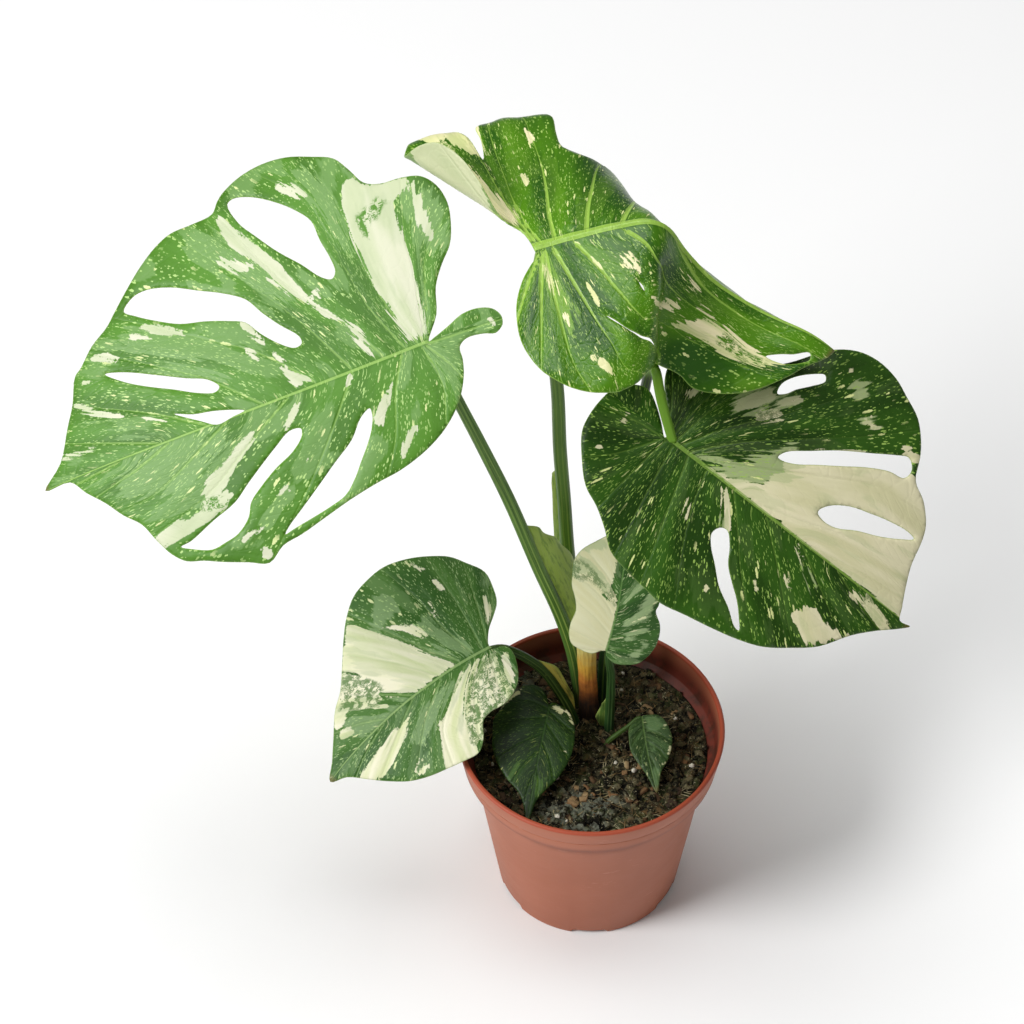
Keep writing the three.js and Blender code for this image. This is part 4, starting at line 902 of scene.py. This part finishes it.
def along_track(track, share):
    """The value of a track at shares of the length, eased from key to key."""
    if not isinstance(track[0], tuple):
        track = [((i - 1) / 3, value) for i, value in enumerate(track)]
    value = np.full(np.shape(share), float(track[0][1]))
    for (start, low), (end, high) in zip(track, track[1:]):
        f = np.clip((share - start) / (end - start), 0, 1)
        value = value + (high - low) * f * f * (3 - 2 * f)
    return value


def ahead(pitch, turn):
    return np.stack([np.cos(pitch) * np.cos(turn), np.cos(pitch) * np.sin(turn), np.sin(pitch)], -1)


def stood(values):
    return np.asarray(values)[..., None]


def leaf_bend(leaf):
    """The function that takes flat millimetres to their place on the plant."""
    length = leaf["length"]
    behind = math.floor(0.8 * length)
    count = behind + math.floor(1.12 * length) + 1
    shares = (np.arange(count) - behind) / length
    steps = ahead(*(np.radians(along_track(leaf[key], shares)) for key in ("droop", "sweep")))
    midrib = np.concatenate([np.zeros((1, 3)), np.cumsum((steps[1:] + steps[:-1]) / 2, 0)])
    midrib -= midrib[behind]
    heading, pitch, roll = (math.radians(leaf[k]) for k in ("heading", "pitch", "roll"))
    along = ahead(np.array(pitch), np.array(heading))
    level = np.array([-math.sin(heading), math.cos(heading), 0])
    aside = level * math.cos(roll) + np.cross(along, level) * math.sin(roll)
    axes = np.stack([along, aside, np.cross(along, aside)])

    def bend(x, y):
        flat_y, lift = y, 0 * x
        for (px, py), towards, radius, most in leaf.get("rolls", ()):
            nx, ny = math.cos(math.radians(towards)), math.sin(math.radians(towards))
            beyond = np.maximum((x - px) * nx + (y - py) * ny, 0) * np.clip(flat_y / 12, 0, 1)
            angle = np.minimum(beyond / radius, math.radians(abs(most)))
            rest = beyond - angle * radius
            shift = radius * np.sin(angle) + rest * np.cos(angle) - beyond
            x, y = x + shift * nx, y + shift * ny
            lift = lift + np.sign(most) * (radius * (1 - np.cos(angle)) + rest * np.sin(angle))
        left, out = y >= 0, np.abs(y)
        skew = np.where(left, 0, leaf.get("skew_right", 0)) * out
        share = (x - skew) / length
        near = [share + k * 0.6 * out / length for k in (-1, -0.5, 0, 0.5, 1)]
        down = sum(np.radians(along_track(leaf["droop"], s)) for s in near) / 5
        turn = sum(np.radians(along_track(leaf["sweep"], s)) for s in near) / 5
        tangent = ahead(down, turn)
        across = np.stack([-np.sin(turn), np.cos(turn), 0 * turn], -1)
        normal = np.cross(tangent, across)
        fold, curl = (
            np.radians(np.where(left, along_track(leaf[k][0], share), along_track(leaf[k][1], share)))
            for k in ("fold", "curl")
        )
        angles = [fold + curl / 100 * out * (i + 0.5) / 12 for i in range(12)]
        reach, rise = (sum(f(a) for a in angles) * out / 12 for f in (np.cos, np.sin))
        side, edge = np.where(left, 1, -1), fold + curl / 100 * out
        place = np.clip(x - skew + behind, 0, count - 1)
        middle = np.stack([np.interp(place, np.arange(count), midrib[:, i]) for i in range(3)], -1)
        middle = middle + stood(skew) * tangent + stood(side * reach) * across + stood(rise) * normal
        middle = middle + stood(lift * np.cos(edge)) * normal - stood(side * lift * np.sin(edge)) * across
        return middle @ axes + np.array(leaf["joint"])

    return bend


def upward(bend, x, y, step=0.5):
    """The upper side's normal at flat points."""
    normal = np.cross(bend(x + step, y) - bend(x - step, y), bend(x, y + step) - bend(x, y - step))
    return normal / np.linalg.norm(normal, axis=-1, keepdims=True)


def smooth_line(points, closed, parts=4):
    """A centripetal curve through points, with that many parts between each two."""
    points = [np.array(p, float) for p in points]
    if closed:
        points = [points[-1], *points, points[0], points[1]]
    else:
        points = [2 * points[0] - points[1], *points, 2 * points[-1] - points[-2]]
    made = []
    for a, b, c, d in zip(points, points[1:], points[2:], points[3:]):
        t1 = np.linalg.norm(b - a) ** 0.5
        t2 = t1 + np.linalg.norm(c - b) ** 0.5
        t3 = t2 + np.linalg.norm(d - c) ** 0.5
        for t in t1 + (t2 - t1) * np.arange(parts) / parts:
            p, q = a + (b - a) * t / t1, b + (c - b) * (t - t1) / (t2 - t1)
            r = c + (d - c) * (t - t2) / (t3 - t2)
            p, q = p + (q - p) * t / t2, q + (r - q) * (t - t1) / (t3 - t1)
            made.append(p + (q - p) * (t - t1) / (t2 - t1))
    return made if closed else made + [points[-2]]


def flat_blade(leaf):
    """The leaf cut out flat, on a fine grid, 2 high, with its rim drawn in."""
    shape = bmesh.new()
    for loop in [leaf["outline"], *leaf["holes"]]:
        verts = [shape.verts.new((x, y, 0)) for x, y in smooth_line(loop, True)]
        for pair in zip(verts, verts[1:] + verts[:1]):
            shape.edges.new(pair)
    bmesh.ops.triangle_fill(shape, edges=shape.edges[:], use_beauty=True, normal=(0, 0, 1))
    low, high = np.min(leaf["outline"], 0), np.max(leaf["outline"], 0)
    cell = 2.2 if leaf["length"] > 150 else 1.5
    places = [("x", at) for at in np.arange(low[0] // 1 + 0.37, high[0], cell)]
    for start, end, step in ((4, high[1], cell), (-4, low[1], -cell)):
        places += [("y", at) for at in np.arange(start, end, step)]
    places += [("y", at) for at in (0, 0.7, -0.7, 1.4, -1.4, 2.4, -2.4)]
    for axis, at in places:
        normal = Vector((axis == "x", axis == "y", 0))
        geom = shape.verts[:] + shape.edges[:] + shape.faces[:]
        bmesh.ops.bisect_plane(shape, geom=geom, dist=0.02, plane_co=normal * at, plane_no=normal)
    bmesh.ops.triangulate(shape, faces=shape.faces[:])
    for vert in shape.verts:
        vert.co.z = -0.35 if vert.is_boundary else -1
    upper = bmesh.ops.extrude_face_region(shape, geom=shape.faces[:], use_keep_orig=True)["geom"]
    for vert in upper:
        if isinstance(vert, bmesh.types.BMVert):
            vert.co.z = -vert.co.z
    bmesh.ops.recalc_face_normals(shape, faces=shape.faces)
    return shape


def vein_field(x, y, veins, side):
    """Where flat points of one half lie among its veins: the lane, the way out, the gap, the distance."""
    near, out, passed = [], [], []
    for vein in veins:
        line = [p * (1, side) for p in smooth_line(vein, False)]
        best, way, beyond, gone = np.full(x.shape, 1e9), 0 * x, x > 1e9, 0
        for k, (start, end) in enumerate(zip(line, line[1:])):
            along, long = end - start, math.dist(start, end)
            part = ((x - start[0]) * along[0] + (y * side - start[1]) * along[1]) / long**2
            part = np.clip(part, 0, 9999 if k == len(line) - 2 else 1)
            off_x, off_y = x - start[0] - part * along[0], y * side - start[1] - part * along[1]
            gap = np.hypot(off_x, off_y)
            closer = gap < best
            best, way = np.where(closer, gap, best), np.where(closer, gone + part * long, way)
            beyond = np.where(closer, along[0] * off_y - along[1] * off_x < 0, beyond)
            gone += long
        near.append(best)
        out.append(way)
        passed.append(beyond)
    near, out, count, many = np.array(near), np.array(out), np.sum(passed, 0), len(veins)
    low, high, each = np.clip(count - 1, 0, many - 1), np.clip(count, 0, many - 1), np.arange(x.size)
    first, last = near[low, each], near[high, each]
    share = first / np.maximum(first + last, 1e-6)
    lane = np.where(count == 0, -first / 16, np.where(count == many, many - 1 + first / 16, low + share))
    gap = np.where((count == 0) | (count == many), 16, first + last)
    return lane, out[low, each] * (1 - share) + out[high, each] * share, gap, near.min(0)


def beside(x, y, start, end):
    """The distance to a line between two points, and the share of the way along it."""
    along = np.subtract(end[:2], start[:2])
    part = np.clip(((x - start[0]) * along[0] + (y - start[1]) * along[1]) / max(along @ along, 1e-9), 0, 1)
    return np.hypot(x - start[0] - part * along[0], y - start[1] - part * along[1]), part


def patch_depth(x, y, patches, side):
    """How far flat points lie outside the patches of one half, negative inside. Short strokes have radii."""
    depth = np.full(x.shape, 30.0)
    for patch in patches:
        if sum(p[1] for p in patch) * side < 0:
            continue
        if len(patch[0]) == 3:
            for start, end in zip(patch, patch[1:] or patch):
                far, part = beside(x, y, start, end)
                depth = np.minimum(depth, far - start[2] - (end[2] - start[2]) * part)
        else:
            within, far = np.zeros(x.shape, bool), np.full(x.shape, 1e9)
            for (x1, y1), (x2, y2) in zip(patch, patch[1:] + patch[:1]):
                far = np.minimum(far, beside(x, y, (x1, y1), (x2, y2))[0])
                if y1 != y2:
                    within ^= ((y1 > y) != (y2 > y)) & (x < (x2 - x1) * (y - y1) / (y2 - y1) + x1)
            depth = np.minimum(depth, np.where(within, -far, far))
    return depth


def leaf_blade(name, leaf):
    """The blade, with what its colours need kept on its corners: place, veins, patches and edges."""
    shape = flat_blade(leaf)
    mesh = bpy.data.meshes.new("blade_" + name)
    shape.to_mesh(mesh)
    shape.free()
    flat = np.empty(len(mesh.vertices) * 3, np.float32)
    mesh.vertices.foreach_get("co", flat)
    x, y, layer = flat.reshape(-1, 3).astype(float).T
    middles = np.empty(len(mesh.polygons) * 3, np.float32)
    mesh.polygons.foreach_get("center", middles)
    whose = np.empty(len(mesh.loops), int)
    mesh.loops.foreach_get("vertex_index", whose)
    sizes = np.empty(len(mesh.polygons), int)
    mesh.polygons.foreach_get("loop_total", sizes)
    on_left = np.repeat(middles[1::3] > 0, sizes)
    rim = np.full(x.shape, 99.0)
    for loop in [leaf["outline"], *leaf["holes"]]:
        line = smooth_line(loop, True)
        for start, end in zip(line, line[1:] + line[:1]):
            rim = np.minimum(rim, beside(x, y, start, end)[0])
    sides = []
    for side, veins in zip((1, -1), leaf["veins"]):
        lane, out, gap, line = vein_field(x, y, veins, side)
        depths = [patch_depth(x, y, leaf[kind], side) for kind in ("cream", "milky", "speckled")]
        sides.append({
            "place": (x, y, layer < 0), "veins": (lane + 20 * (side < 0), out, gap), "patches": depths,
            "edges": (line, rim, 0 * x),
        })
    for kind in sides[0]:
        left, right = (np.array(s[kind], np.float32).T[whose] for s in sides)
        values = np.where(on_left[:, None], left, right)
        mesh.attributes.new(kind, "FLOAT_VECTOR", "CORNER").data.foreach_set("vector", values.ravel())
    lane, _, gap, line = (np.where(y > 0, a, b) for a, b in zip(
        vein_field(x, y, leaf["veins"][0], 1), vein_field(x, y, leaf["veins"][1], -1)))
    quilt = np.sin(np.pi * (lane - np.floor(lane))) ** 2
    quilt *= np.clip(np.abs(y) / 7, 0, 1) * np.clip(gap / 14, 0, 1)
    taper = np.clip((x + 2) / 5, 0, 1) * np.clip(1 - x / leaf["length"], 0, 1) ** 0.7
    above, below = leaf["rib_rise"] * np.exp(-((y / 1.3) ** 2)), -1.4 * np.exp(-((y / 1.6) ** 2))
    rib = np.where(layer < 0, below, above) * taper
    lift = 0.4 * layer + leaf["quilt"] * quilt * np.clip(rim / 3, 0, 1) + rib
    place = (leaf_bend(leaf)(x, y) + stood(lift) * upward(leaf_bend(leaf), x, y)) / 1000
    mesh.vertices.foreach_set("co", place.astype(np.float32).ravel())
    return mesh


def leaf_finish(name, leaf):
    """Greens in sectors along the veins, flecks, cream patches with torn edges, veins and a paler back."""
    at, surface, material = start_finish("leaf_" + name, 0.4, Specular_IOR_Level=leaf["shine"])
    place, veins, patches, edges = (
        at.node("Attribute", {"attribute_name": kind}, {}, "Vector")
        for kind in ("place", "veins", "patches", "edges")
    )
    (x, y, under), (lane, out, gap), (cream, milky, speckled) = place.parts(), veins.parts(), patches.parts()
    line, rim, _ = edges.parts()
    line = (abs(lane - lane.maths("ROUND", lane, 0)) * gap).most(line - 2.5)
    dark, light, haze = (tint(*c) for c in leaf["greens"])
    lanes, fleck = leaf["lanes"], leaf["fleck"]
    jitter = at.vector(x / 1.4, y / 1.4, 4).clouds(1, 2, 0.6) - 0.5
    strokes = at.vector(lane * (lanes * 0.8), out / 16, 3).clouds(1, 2, 0.6) - 0.5
    fingers = at.vector(lane * (lanes * 0.5), out / 30, 8).clouds(1, 1, 0.5) - 0.5
    sectors = at.vector(lane * 1.3, out / 60, 5).clouds(1, 1, 0.5) + strokes * 0.25
    colour = sectors.rise(0.32, 0.64).over(dark, light)
    stray = at.vector(lane * 1.6, out / 40, 21).clouds(1, 1, 0.5) + strokes * 0.25 + jitter * 0.05
    ragged = min(leaf["length"] / 150, 1)
    cloudy = (milky + (fingers * 20 + strokes * 9) * ragged + jitter * 2).rise(0.8, -1.2)
    colour = (cloudy.most(stray.rise(0.55, 0.6) * leaf["hazy"]) * 0.85).over(colour, haze)
    # flecks: fine ones everywhere, longer ones here and there, in half the lanes where the veins are close
    wide = gap.rise(5, 9)
    crowd = at.vector(lane * 3, out / 26, 60).clouds(1, 2).rise(0.36, 0.56)
    for many, long, rare, size, shade in (
        (1.7, 4.0, 0.45, 0.32, 0), (1.0, 7.5, 0.82, 0.36, 1), (2.4, 2.2, 0.58, 0.36, 2),
    ):
        marks = []
        for share in (1.0, 0.4):
            sideways = lane * (lanes * many * share / fleck) + jitter * 0.7
            cell = at.vector(sideways, out / (long * fleck) - jitter * 0.5, 40 * shade)
            luck = cell.cells(1, "Color").parts()[0]
            radius = (luck - rare) * (size / (1 - rare)) + 0.06
            marks.append((radius - cell.cells(1)).rise(-0.05, 0.02) * luck.rise(rare, rare + 0.01))
        marks = wide * marks[0] + (1 - wide) * marks[1]
        colour = (marks * (crowd * (0.65, 1.0, 0.4)[shade] + (0.3, 0, 0.4)[shade])).over(
            colour, tint(*leaf["flecks"][shade % 2]))
    # the cream patches, straight along the veins and torn at their ends
    pale = at.vector(lane * 2.5, out / 60, 33).clouds(1, 2).rise(0.35, 0.65)
    pale = pale.over(*(tint(*c) for c in leaf["creams"]))
    marbled = (speckled + fingers * 9 * ragged + jitter * 3).rise(1.5, -1.5)
    bare = (cream + (fingers * 8 + strokes * 5) * ragged + jitter * 2.2).rise(0.3, -0.3)
    bare = bare.most(marbled.rise(0.4, 0.6))
    tinged = at.vector(lane * 2.1, out / 33, 35).clouds(1, 2) + strokes * 0.3
    tinged = tinged.rise(0.5, 0.62) * leaf["tinge"]
    colour = bare.over(colour, tinged.most(cloudy * leaf["blend"]).over(pale, haze))
    marble = at.vector(x / 4.2 + strokes * 2, y / 4.2, 90).clouds(1, 4, 0.6) - 0.5
    freckles = abs(marble).rise(0.035, 0.015).most((marble + strokes * 0.3).rise(0.03, 0.06))
    colour = (marbled * freckles * (1 - leaf["blend"] * 0.6)).over(colour, light)
    # the side veins, the midrib with painted shade along its sides, the rim and the paler back
    faint = 1 - (out / 90).least(1) * 0.5
    rib = tint(*leaf["rib"])
    drawn = (line - (1 - out / 70).most(0.12) * leaf["vein_width"]).rise(0.3, -0.1)
    colour = (drawn * faint * leaf["vein_light"] * (1 - bare * 0.6)).over(colour, rib)
    width = (1 - x / leaf["length"]).most(0.02) ** 0.6 * leaf["rib_width"]
    along = x.rise(-1.5, 0.5)
    middle = (abs(y) - width).rise(0.3, -0.1) * along
    # painted shade: a darker band along each side of the raised midrib
    rib_side_shade = (abs(y) - width).rise(1.6, 0.3) * along * (1 - middle)
    colour = (rib_side_shade * 0.35 * (1 - bare)).over(colour, dark)
    colour = (middle * (strokes * 0.5 + 0.75)).most(rim.rise(0.6, 0.25) * 0.4).over(colour, rib)
    paler = bare.over(tint(140, 164, 102), tint(178, 186, 150))
    colour = (under.rise(0.4, 0.6) * (0.5 + bare * 0.3)).over(colour, paler)
    tip = (x + strokes * 3).rise(leaf["length"] - 5, leaf["length"] - 1) * 0.7
    colour = tip.over(colour, tint(112, 98, 58))
    grain = at.vector(lane * (lanes * 1.6), out / 1.6, 70).clouds(1, 3, 0.6)
    net = at.vector(lane * 3.2, out / 7, 12).cells(1, "Distance", "DISTANCE_TO_EDGE").rise(0.0, 0.14)
    height = line.rise(0.0, 1.3) * faint + net * 0.2 + grain * 0.25 - middle * 0.6
    rough = leaf["gloss"] + grain * 0.1 + bare * 0.06 + under * 0.16
    wear(surface, Base_Color=colour, Roughness=rough, Normal=relief(height, leaf["vein_depth"], 0.0009))
    return material


SLOTS = {"left": "leaf_large", "right": "leaf_large", "top": "leaf_glossy", "centre": "leaf_cream"}
for name, leaf in LEAVES.items():
    mesh = leaf_blade(name, leaf)
    hand_over("blade_" + name, mesh, [leaf_finish(name, leaf)], SLOTS.get(name, "leaf_small"), "leaf_" + name)


# The stalks: round and fleshy, with a groove up the front and fine lines along them. Most keep a thin
# sheath along one side of the foot.
STALKS = {
    "left": {
        "route": [(-5, 32.5, 94), (-6, 32, 120), (-9.8, 31, 153), (-16.7, 30, 185), (-29.6, 30, 228),
                  (-45.4, 30, 283.5), (-60, 30, 328), (-72, 30, 363), (-82, 30, 393)],
        "radii": [(0, 4.2), (0.5, 3.6), (1, 3)], "seat": (6, 1.5),
        "sheath": (
            1, [(0.1, 3), (0.2, 13), (0.3, 20), (0.37, 22), (0.43, 18), (0.48, 11), (0.53, 1)], (10, 40),
        ),
        "greens": ((50, 84, 12), (100, 138, 56), (166, 190, 90), (112, 150, 56), (168, 196, 76)),
        "knee": 0.93,
    },
    "top": {
        "route": [(-2, 42, 94), (-3.5, 44, 112), (-8, 53, 150), (-12.8, 60, 202), (-15.3, 60, 249),
                  (-17.8, 60, 290), (-19.8, 60, 343), (-25, 60, 392), (-30, 60, 430)],
        "radii": [(0, 4.4), (0.5, 3.8), (1, 3.2)], "seat": (5, 1.5),
        "sheath": (-1, [(0.12, 3), (0.25, 8), (0.38, 7.5), (0.47, 6.8), (0.495, 6), (0.505, 3)], (10, 24)),
        "greens": ((62, 98, 22), (96, 132, 46), (134, 160, 70), (112, 148, 50), (136, 166, 58)),
        "knee": 0.93,
    },
    "right": {
        "route": [(8, 30, 94), (8.4, 30, 115), (9, 32, 142), (12, 43, 180), (17, 54, 230), (22, 58, 285),
                  (26, 52, 340), (29.3, 40, 378), (31.5, 31, 386), (34.5, 22, 374)],
        "radii": [(0, 5), (0.1, 4.6), (0.3, 3.4), (0.85, 2.7), (1, 2.6)], "seat": (5, 1.5),
        "greens": ((14, 28, 3), (34, 60, 14), (112, 142, 42), (104, 146, 40), (104, 132, 40)),
        "knee": 0.8,
    },
    "low": {
        "route": [(-8, 20.5, 94), (-9.5, 21, 106), (-17, 24, 125), (-28, 26, 144.7), (-41.6, 26, 158),
                  (-50, 26, 162)],
        "radii": [(0, 3.2), (0.6, 2.7), (1, 2.3)], "seat": (6, 1.8),
        "sheath": (1, [(0.12, 2), (0.3, 6), (0.5, 7), (0.68, 2)], (0, 20)),
        "greens": ((30, 54, 12), (56, 84, 30), (132, 152, 74), (100, 138, 50), (206, 188, 84)),
        "knee": 0.93,
    },
    "centre": {
        "route": [(10.5, 16, 94), (10.9, 15, 116), (11.2, 14, 139), (11, 12, 158), (9.6, 9.5, 172)],
        "radii": [(0, 2.9), (1, 2.1)], "seat": (6, 1.5),
        "sheath": (-1, [(0.05, 3), (0.2, 8), (0.32, 5), (0.42, 2)], (-10, 10)),
        "greens": ((30, 58, 22), (56, 90, 42), (104, 134, 80), (150, 168, 104), (74, 106, 40)),
        "knee": 0.93,
    },
    "front_left": {
        "route": [(-14, 14, 96), (-15, 15, 108), (-17.5, 16, 119), (-21, 15, 125.5)],
        "radii": [(0, 1.9), (1, 1.5)], "seat": (5, 1.2),
        "greens": ((38, 58, 12), (62, 88, 28), (104, 120, 54), (46, 68, 20), (90, 110, 50)),
        "knee": 0.93,
    },
    "front_right": {
        "route": [(7, 3, 96), (9, 4, 104.5), (15, 6.5, 109.5), (22, 9, 114.5), (27.5, 11.5, 118.6)],
        "radii": [(0, 1.6), (1, 1.2)], "seat": (4, 1.0),
        "greens": ((38, 58, 18), (64, 90, 34), (104, 120, 62), (58, 82, 32), (90, 110, 50)),
        "knee": 0.93,
    },
}


def stalk_route(stalk, leaf):
    """The function that gives the stalk's middle, front and right at shares of its way."""
    bend, (x, below) = leaf_bend(leaf), stalk["seat"]
    spot = np.array([float(x)]), np.array([0.0])
    end = (bend(*spot) - below * upward(bend, *spot, 1))[0]
    line = np.array(smooth_line([*stalk["route"], end], False, 24))
    gone = np.concatenate([[0], np.cumsum(np.linalg.norm(np.diff(line, axis=0), axis=1))])

    def route(share):
        def middle(share):
            return np.stack([np.interp(share * gone[-1], gone, line[:, i]) for i in range(3)], -1)

        tangent = middle(np.clip(share + 0.004, 0, 1)) - middle(np.clip(share - 0.004, 0, 1))
        tangent /= np.linalg.norm(tangent, axis=-1, keepdims=True)
        front = np.array([0, -1, 0.4]) - stood(tangent @ np.array([0, -1, 0.4])) * tangent
        front /= np.linalg.norm(front, axis=-1, keepdims=True)
        return middle(share), front, np.cross(tangent, front)

    return route, gone[-1]


def fleshy_stalk(stalk, leaf):
    """The stalk and its wing, with what their colours need: around and along it, and where on it."""
    route, length = stalk_route(stalk, leaf)
    shape = bmesh.new()
    bmesh.ops.create_cone(shape, cap_ends=True, segments=28, radius1=1, radius2=1, depth=1)
    for step in range(1, int(length / 2.2)):
        geom = shape.verts[:] + shape.edges[:] + shape.faces[:]
        at = (0, 0, step / int(length / 2.2) - 0.5)
        bmesh.ops.bisect_plane(shape, geom=geom, dist=1e-5, plane_co=at, plane_no=(0, 0, 1))
    flat = np.array([v.co for v in shape.verts])
    share, turn = flat[:, 2] + 0.5, np.arctan2(flat[:, 1], flat[:, 0])
    radius = along_track(stalk["radii"], share)
    off = np.abs(turn)
    groove = 0.16 * np.exp(-((off / 0.42) ** 2)) - 0.03 * np.exp(-(((off - 0.75) / 0.3) ** 2))
    reach = radius * (1 - groove + 0.012 * np.cos(9 * turn))
    middle, front, right = route(share)
    round_it = np.stack([radius * np.cos(turn), radius * np.sin(turn), share * length], -1)
    place = middle + stood(reach * np.cos(turn)) * front + stood(reach * np.sin(turn)) * right
    settle(shape, place, round_it, np.stack([share, 0 * share, 0 * share], -1))
    if "sheath" in stalk:
        side, width, lean = stalk["sheath"]
        wing = bmesh.new()
        bmesh.ops.create_grid(wing, x_segments=14, y_segments=70, size=0.5)
        bmesh.ops.solidify(wing, geom=wing.faces[:], thickness=0.02)
        flat = np.array([v.co for v in wing.verts])
        part, level = flat[:, 0] + 0.5, flat[:, 1] + 0.5
        layer = np.where(np.abs(flat[:, 2]) < 0.005, 1, -1)
        share = width[0][0] + (width[-1][0] - width[0][0]) * level
        middle, front, right = route(share)
        reach = along_track(width, share) * part
        angle = np.radians(lean[0] + (lean[1] - lean[0]) * part)
        wave = 0.5 * np.sin(level * 17) * part ** 2
        thick = 0.45 * layer * (1 - 0.7 * part) + wave
        place = middle + stood(side * reach * np.cos(angle)) * right
        place += stood(thick - reach * np.sin(angle)) * front
        on_wing = np.stack([share, 0 * share + 1, part], -1)
        settle(wing, place, np.stack([reach, layer, share * length], -1), on_wing)
        bmesh.ops.recalc_face_normals(wing, faces=wing.faces)
        spare = bpy.data.meshes.new("wing")
        wing.to_mesh(spare)
        wing.free()
        shape.from_mesh(spare)
        bpy.data.meshes.remove(spare)
    return shape


def settle(shape, places, *marks):
    """Moves the vertices to their places, and keeps the marks that the finish reads on them."""
    layers = [shape.verts.layers.float_vector.new(kind) for kind in ("around", "kind")]
    for vert, *values in zip(shape.verts, places, *marks):
        vert.co = values[0]
        for layer, value in zip(layers, values[1:]):
            vert[layer] = value


def stalk_finish(name, stalk):
    """Green with fine lines along it, lighter ones beside the groove, painted shade in the groove, a pale
    wing and a lighter top.
    """
    at, surface, material = start_finish("stalk_" + name, 0.42, Specular_IOR_Level=0.25)
    around, kind = (at.node("Attribute", {"attribute_name": k}, {}, "Vector") for k in ("around", "kind"))
    (across, aside, up), (share, wing, part) = around.parts(), kind.parts()
    dark, light, line, top, web = (tint(*c) for c in stalk["greens"])
    turn = aside.maths("ARCTAN2", aside, across)
    fine = around.stretched(2.2, 2.2, 0.025).clouds(1, 3, 0.6)
    colour = fine.rise(0.33, 0.6).over(dark, light)
    lined = share.rise(0.6, 0.15) * 0.5 + 0.25
    colour = (abs(abs(turn) - 0.36).rise(0.13, 0.04) * lined).over(colour, line)
    colour = (abs(turn - 1.35).rise(0.12, 0.03) * 0.3 * fine.rise(0.4, 0.5)).over(colour, line)
    # painted shade: the groove up the front is darker
    colour = (abs(turn).rise(0.26, 0.1) * 0.35).over(colour, dark)
    dots = around.stretched(1.6, 1.6, 0.5).clouds(1, 2).rise(0.66, 0.72)
    colour = (dots * 0.4).over(colour, line)
    colour = share.rise(stalk["knee"], stalk["knee"] + 0.06).over(colour, top)
    colour = (share.rise(0.3, 0.06) * 0.45).over(colour, tint(32, 70, 42))
    colour = (share.rise(0.1, 0.02) * 0.4).over(colour, tint(84, 70, 40))
    veins = around.stretched(1.5, 0, 0.035).clouds(1, 2, 0.5)
    film = (veins.rise(0.4, 0.6) * 0.3 + part.rise(0.8, 0.98) * 0.5).over(web, tint(176, 194, 104))
    film = (around.stretched(0.5, 0, 0.09).clouds(1, 3, 0.6).rise(0.48, 0.62) * 0.6).over(film, light)
    film = (share.rise(0.24, 0.1) * 0.5).over(film, tint(60, 66, 30))
    colour = wing.over(colour, film)
    wear(surface, Base_Color=colour, Roughness=0.36 + fine * 0.14)
    wear(surface, Normal=relief(fine + veins * wing, 0.35, 0.0005))
    return material


for name, stalk in STALKS.items():
    shape, skin = fleshy_stalk(stalk, LEAVES[name]), stalk_finish(name, stalk)
    place_piece("petiole_" + name, shape, [skin], "stalk", "stalk_" + name)


# The studio: a pale floor, soft light from broad panels, and the camera well above the front.
def stage_floor():
    shape = bmesh.new()
    bmesh.ops.create_circle(shape, cap_ends=True, segments=64, radius=9000)
    bmesh.ops.scale(shape, vec=(0.001, 0.001, 0.001), verts=shape.verts)
    mesh = bpy.data.meshes.new("studio_floor")
    shape.to_mesh(mesh)
    shape.free()
    _, surface, material = start_finish("studio_paper", 0.9)
    surface.inputs["Base Color"].default_value = (0.94, 0.94, 0.94, 1)
    mesh.materials.append(material)
    floor = bpy.data.objects.new("studio_floor", mesh)
    bpy.context.collection.objects.link(floor)


stage_floor()
for name, spot, size, power in (
    ("panel_left", (-1.9, -0.9, 2.0), 1.2, 64),
    ("panel_right", (1.9, -1.1, 1.9), 1.4, 1.0),
    ("panel_top", (0.0, 0.4, 2.8), 1.8, 38),
):
    lamp = bpy.data.lights.new(name, "AREA")
    lamp.shape, lamp.size, lamp.energy = "DISK", size, power
    holder = bpy.data.objects.new(name, lamp)
    holder.location = spot
    holder.rotation_euler = (Vector((-0.05, 0, 0.25)) - Vector(spot)).to_track_quat("-Z", "Y").to_euler()
    bpy.context.collection.objects.link(holder)
sky = bpy.data.worlds.new("studio_air")
sky.use_nodes = True
sky.node_tree.nodes["Background"].inputs["Color"].default_value = (1, 1, 1, 1)
sky.node_tree.nodes["Background"].inputs["Strength"].default_value = 0.22
bpy.context.scene.world = sky
bpy.context.scene.view_settings.view_transform = "Standard"

lens = bpy.data.cameras.new("portrait")
lens.sensor_width, lens.lens = 36, 36 * 5381 / 1024
lens.clip_start, lens.clip_end = 0.05, 60
portrait = bpy.data.objects.new("portrait", lens)
portrait.location = (-0.0438, -1.8629, 2.4786)
portrait.rotation_euler = (math.radians(90 - 49.355), 0, 0)
bpy.context.collection.objects.link(portrait)
bpy.context.scene.camera = portrait
